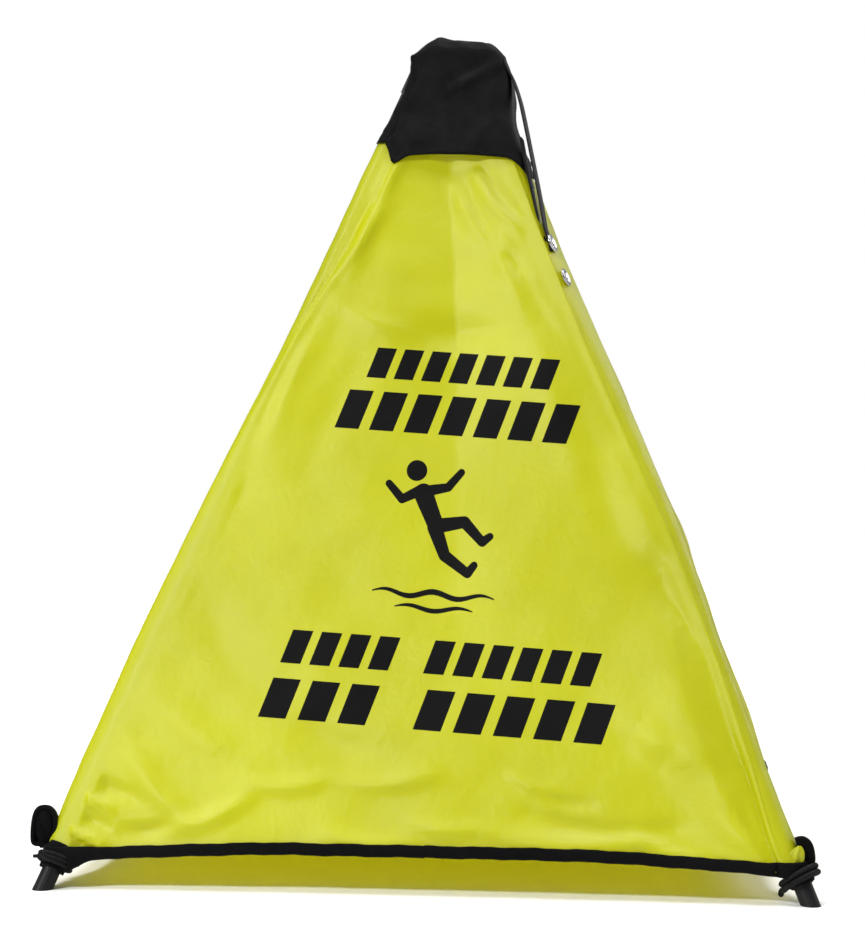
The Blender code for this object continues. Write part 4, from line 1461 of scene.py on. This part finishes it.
def make_sleeve(corner):
    """Sewn pocket of the cover round the leg, with slight slack."""
    leg = LegFrame(corner)
    top = min(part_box(f"leg_sleeve_{corner}")[1].z, SLEEVE_TOP) / leg.w[2]
    around, up, open_half = 18, 90, math.radians(40)
    points, cloth = [], []
    for j in range(up + 1):
        w = SLEEVE_LOW + (top - SLEEVE_LOW) * j / up
        for i in range(around + 1):
            a = open_half + (2 * math.pi - 2 * open_half) * i / around
            r = SLEEVE_RADIUS + 0.00018 * math.sin(2 * a + 60 * w) + 0.00012 * math.sin(3 * a - 41 * w)
            points.append(leg.round(r, a, w))
            cloth.append((a * r, w, 0))
    sleeve = mesh_object(f"sleeve_{corner}", points, grid_faces(up, around), [SLEEVE], cloth=cloth)
    dress(sleeve, "cover_fabric", f"leg_sleeve_{corner}")
    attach(sleeve, f"leg_{corner}")


def make_corners():
    for corner in CORNER_AZIMUTHS:
        make_tie(corner)
        make_gather(corner)
        make_sleeve(corner)
    make_ear_left("front_left")
    make_ear_hook("front_right", (1, 0, 0), (0.05, 1, 0), (0.2125, -0.2085, 0))
    make_ear_hook("back_right", (-0.3, 1, 0), (-1, -0.3, 0), (0.2040, 0.2110, 0))
    make_ear_hook("back_left", (0.2, 1, 0), (1, -0.2, 0), (-0.2065, 0.2120, 0))


# ------------------------------------------------------------------ strap and snaps

STRAP_WIDE = 0.0090
STRAP_THICK = 0.0016
STRAP_ACROSS = (0.25, 1.0, -0.3)  # the direction of its width
# The strap's two runs from the cap down to the upper stud, and its tail past it.
STRAP_OUTER = (
    (0.0300, -0.0205, 0.4992), (0.0336, -0.0222, 0.4968), (0.0368, -0.0248, 0.4895),
    (0.0405, -0.0275, 0.4820), (0.0445, -0.0350, 0.4700), (0.0474, -0.0410, 0.4582),
    (0.0540, -0.0560, 0.4277), (0.0588, -0.0670, 0.4050), (0.0620, -0.0735, 0.3880),
)
STRAP_INNER = (
    (0.0462, -0.0478, 0.4440), (0.0490, -0.0516, 0.4300), (0.0528, -0.0570, 0.4140),
    (0.0566, -0.0630, 0.3985), (0.0605, -0.0688, 0.3840),
)
STRAP_TAIL = (0.0012, -0.0014, -0.0060)
# Where the studs face, and how far they lie outward and forward from the leg's axis.
STUD_AZIMUTH = -16
STUD_OUT = 0.0041
STUD_FORWARD = 0.0095
STUD_DROP = 0.0040  # the slack cloth carries them slightly low
SNAP_BACK = 0.0005
# Half of a press stud's section, from its middle outward: radius and height.
SNAP_PROFILE = (
    (0.0000, 0.0011), (0.0014, 0.0010), (0.0021, 0.0007), (0.0024, 0.0003), (0.0034, 0.0003),
    (0.0043, 0.0008), (0.0050, 0.0009), (0.0056, 0.0005), (0.0058, 0.0000), (0.0055, -0.0004),
)


def middle_of(name):
    low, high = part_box(name)
    return (np.array(low) + np.array(high)) / 2


def stud_place(name):
    """A stud lies on the cloth between the front's folded edge and the right side, over its CAD solid."""
    z = middle_of(name)[2] - STUD_DROP
    a = math.radians(STUD_AZIMUTH)
    forward = np.array([math.sin(a), -math.cos(a), 0.0])
    return snap_facing() * STUD_OUT + np.array([half(z), -half(z), z]) + STUD_FORWARD * forward


def snap_facing():
    """The direction that the press studs face."""
    a = math.radians(STUD_AZIMUTH)
    flat = np.array([math.cos(a), math.sin(a), 0.0])
    lean = np.array([0, 0, FOOT / APEX])
    return unit(flat + lean)


def make_snap(name, centre):
    """A turned press stud: a rolled rim, a dished face and a raised middle."""
    facing = snap_facing()
    right = unit(np.cross([0, 0, 1], facing))
    up = np.cross(facing, right)
    steps = 48
    points, faces = [centre + facing * SNAP_PROFILE[0][1]], []
    for r, h in SNAP_PROFILE[1:]:
        for a in full_turn(steps):
            points.append(centre + (right * math.cos(a) + up * math.sin(a)) * r + facing * h)
    for i in range(steps):
        faces.append((0, 1 + i, 1 + (i + 1) % steps))
    for ring in range(len(SNAP_PROFILE) - 2):
        for i in range(steps):
            a, b = 1 + ring * steps + i, 1 + ring * steps + (i + 1) % steps
            faces.append((a, a + steps, b + steps, b))
    back = len(points)
    last = 1 + (len(SNAP_PROFILE) - 2) * steps
    points.append(centre - facing * SNAP_BACK)
    for i in range(steps):
        faces.append((back, last + (i + 1) % steps, last + i))
    return mesh_object(name, points, fix_winding(points, faces), [CHROME])


def make_snaps():
    for name in ("snap_stud_upper", "snap_stud_lower", "snap_socket_strap"):
        piece = make_snap(name.replace("snap_", "press_"), stud_place(name))
        dress(piece, "snap_metal", name)
        bend_with_leg(piece)


def make_strap():
    """The two runs of the storage strap, both ending at the upper stud."""
    stud = stud_place("snap_socket_strap")
    facing = snap_facing()
    end = stud - facing * 0.0012
    outer = smooth_line((*STRAP_OUTER, end, end + np.array(STRAP_TAIL)), 9)
    inner = smooth_line((*STRAP_INNER, end - facing * 0.0018), 9)
    for name, line in (("strap_outer", outer), ("strap_inner", inner)):
        frames = carried_frames(line, STRAP_ACROSS)
        piece = sweep(f"{name}_run", line, rounded(STRAP_WIDE, STRAP_THICK, 20, 0.5), STRAP, frames)
        dress(piece, "strap_webbing", name)
        bend_with_leg(piece)


# ------------------------------------------------------------------ camera, light and floor

CAMERA_TARGET = Vector((0, 0, 0.25))
CAMERA_DISTANCE = 1.70
CAMERA_AZIMUTH = math.radians(3.0)
CAMERA_HEIGHT = math.radians(1.13)
CAMERA_ROLL = math.radians(0.61)
CAMERA_LENS = 99.93
# The camera looks past its target by this much.
AIM_RIGHT = -0.01018
AIM_UP = -0.01753
ROOM_LIGHT = 0.30
LIGHT_AIM = (0, 0, 0.22)
# Place, size and power of each lamp.
KEY = ((-1.35, -1.65, 1.6), 0.30, 46)
FILL = ((1.9, 1.4, 1.5), 1.2, 22)
OVERHEAD_POWER = 2.45
OVERHEAD_SPREAD = math.radians(40)


def make_camera():
    back = Vector((
        math.sin(CAMERA_AZIMUTH) * math.cos(CAMERA_HEIGHT),
        -math.cos(CAMERA_AZIMUTH) * math.cos(CAMERA_HEIGHT),
        math.sin(CAMERA_HEIGHT),
    ))
    right = Vector((math.cos(CAMERA_AZIMUTH), math.sin(CAMERA_AZIMUTH), 0))
    up = back.cross(right)
    c, s = math.cos(CAMERA_ROLL), math.sin(CAMERA_ROLL)
    right, up = right * c + up * s, up * c - right * s
    place = CAMERA_TARGET + back * CAMERA_DISTANCE
    aim = CAMERA_TARGET + right * AIM_RIGHT + up * AIM_UP
    back = (place - aim).normalized()
    right = up.cross(back).normalized()
    up = back.cross(right)
    data = bpy.data.cameras.new("camera")
    data.lens = CAMERA_LENS
    data.sensor_width = 36
    data.clip_start = 0.01
    camera = bpy.data.objects.new("camera", data)
    camera.matrix_world = Matrix.Translation(place) @ Matrix((
        (right.x, up.x, back.x), (right.y, up.y, back.y), (right.z, up.z, back.z),
    )).to_4x4()
    bpy.context.scene.collection.objects.link(camera)
    bpy.context.scene.camera = camera


def make_floor():
    steps, size = 12, 6.0
    places = [size * (i / steps - 0.5) for i in range(steps + 1)]
    points = [(x, y, 0.0) for y in places for x in places]
    mesh_object("floor", points, grid_faces(steps, steps), [FLOOR])


def area_light(name, place, size, power):
    data = bpy.data.lights.new(name, "AREA")
    data.shape = "RECTANGLE"
    data.size = size
    data.size_y = size
    data.energy = power
    light = bpy.data.objects.new(name, data)
    direction = Vector(place) - Vector(LIGHT_AIM)
    light.matrix_world = Matrix.Translation(place) @ direction.to_track_quat("Z", "Y").to_matrix().to_4x4()
    bpy.context.scene.collection.objects.link(light)


def make_light():
    """A white room, a key light from the upper left, a fill from behind and soft light from above."""
    world = bpy.data.worlds.new("studio")
    world.use_nodes = True
    tree = world.node_tree
    shade = tree.nodes["Background"]
    feed(tree, shade, {"Color": (1, 1, 1, 1), "Strength": ROOM_LIGHT})
    seen = node(tree, "ShaderNodeBackground", {"Color": (1, 1, 1, 1), "Strength": 1.0})
    camera_ray = node(tree, "ShaderNodeLightPath").outputs["Is Camera Ray"]
    mix = node(tree, "ShaderNodeMixShader", {0: camera_ray, 1: shade.outputs[0], 2: seen.outputs[0]})
    tree.links.new(mix.outputs[0], tree.nodes["World Output"].inputs[0])
    bpy.context.scene.world = world
    area_light("key", *KEY)
    area_light("fill", *FILL)
    sun = bpy.data.lights.new("overhead", "SUN")
    sun.energy = OVERHEAD_POWER
    sun.angle = OVERHEAD_SPREAD
    overhead = bpy.data.objects.new("overhead", sun)
    bpy.context.scene.collection.objects.link(overhead)
    bpy.context.scene.view_settings.view_transform = "Standard"


make_camera()
make_floor()
make_light()
finish_frame_nodes()
make_cover()
make_cap()
make_corners()
make_snaps()
make_strap()
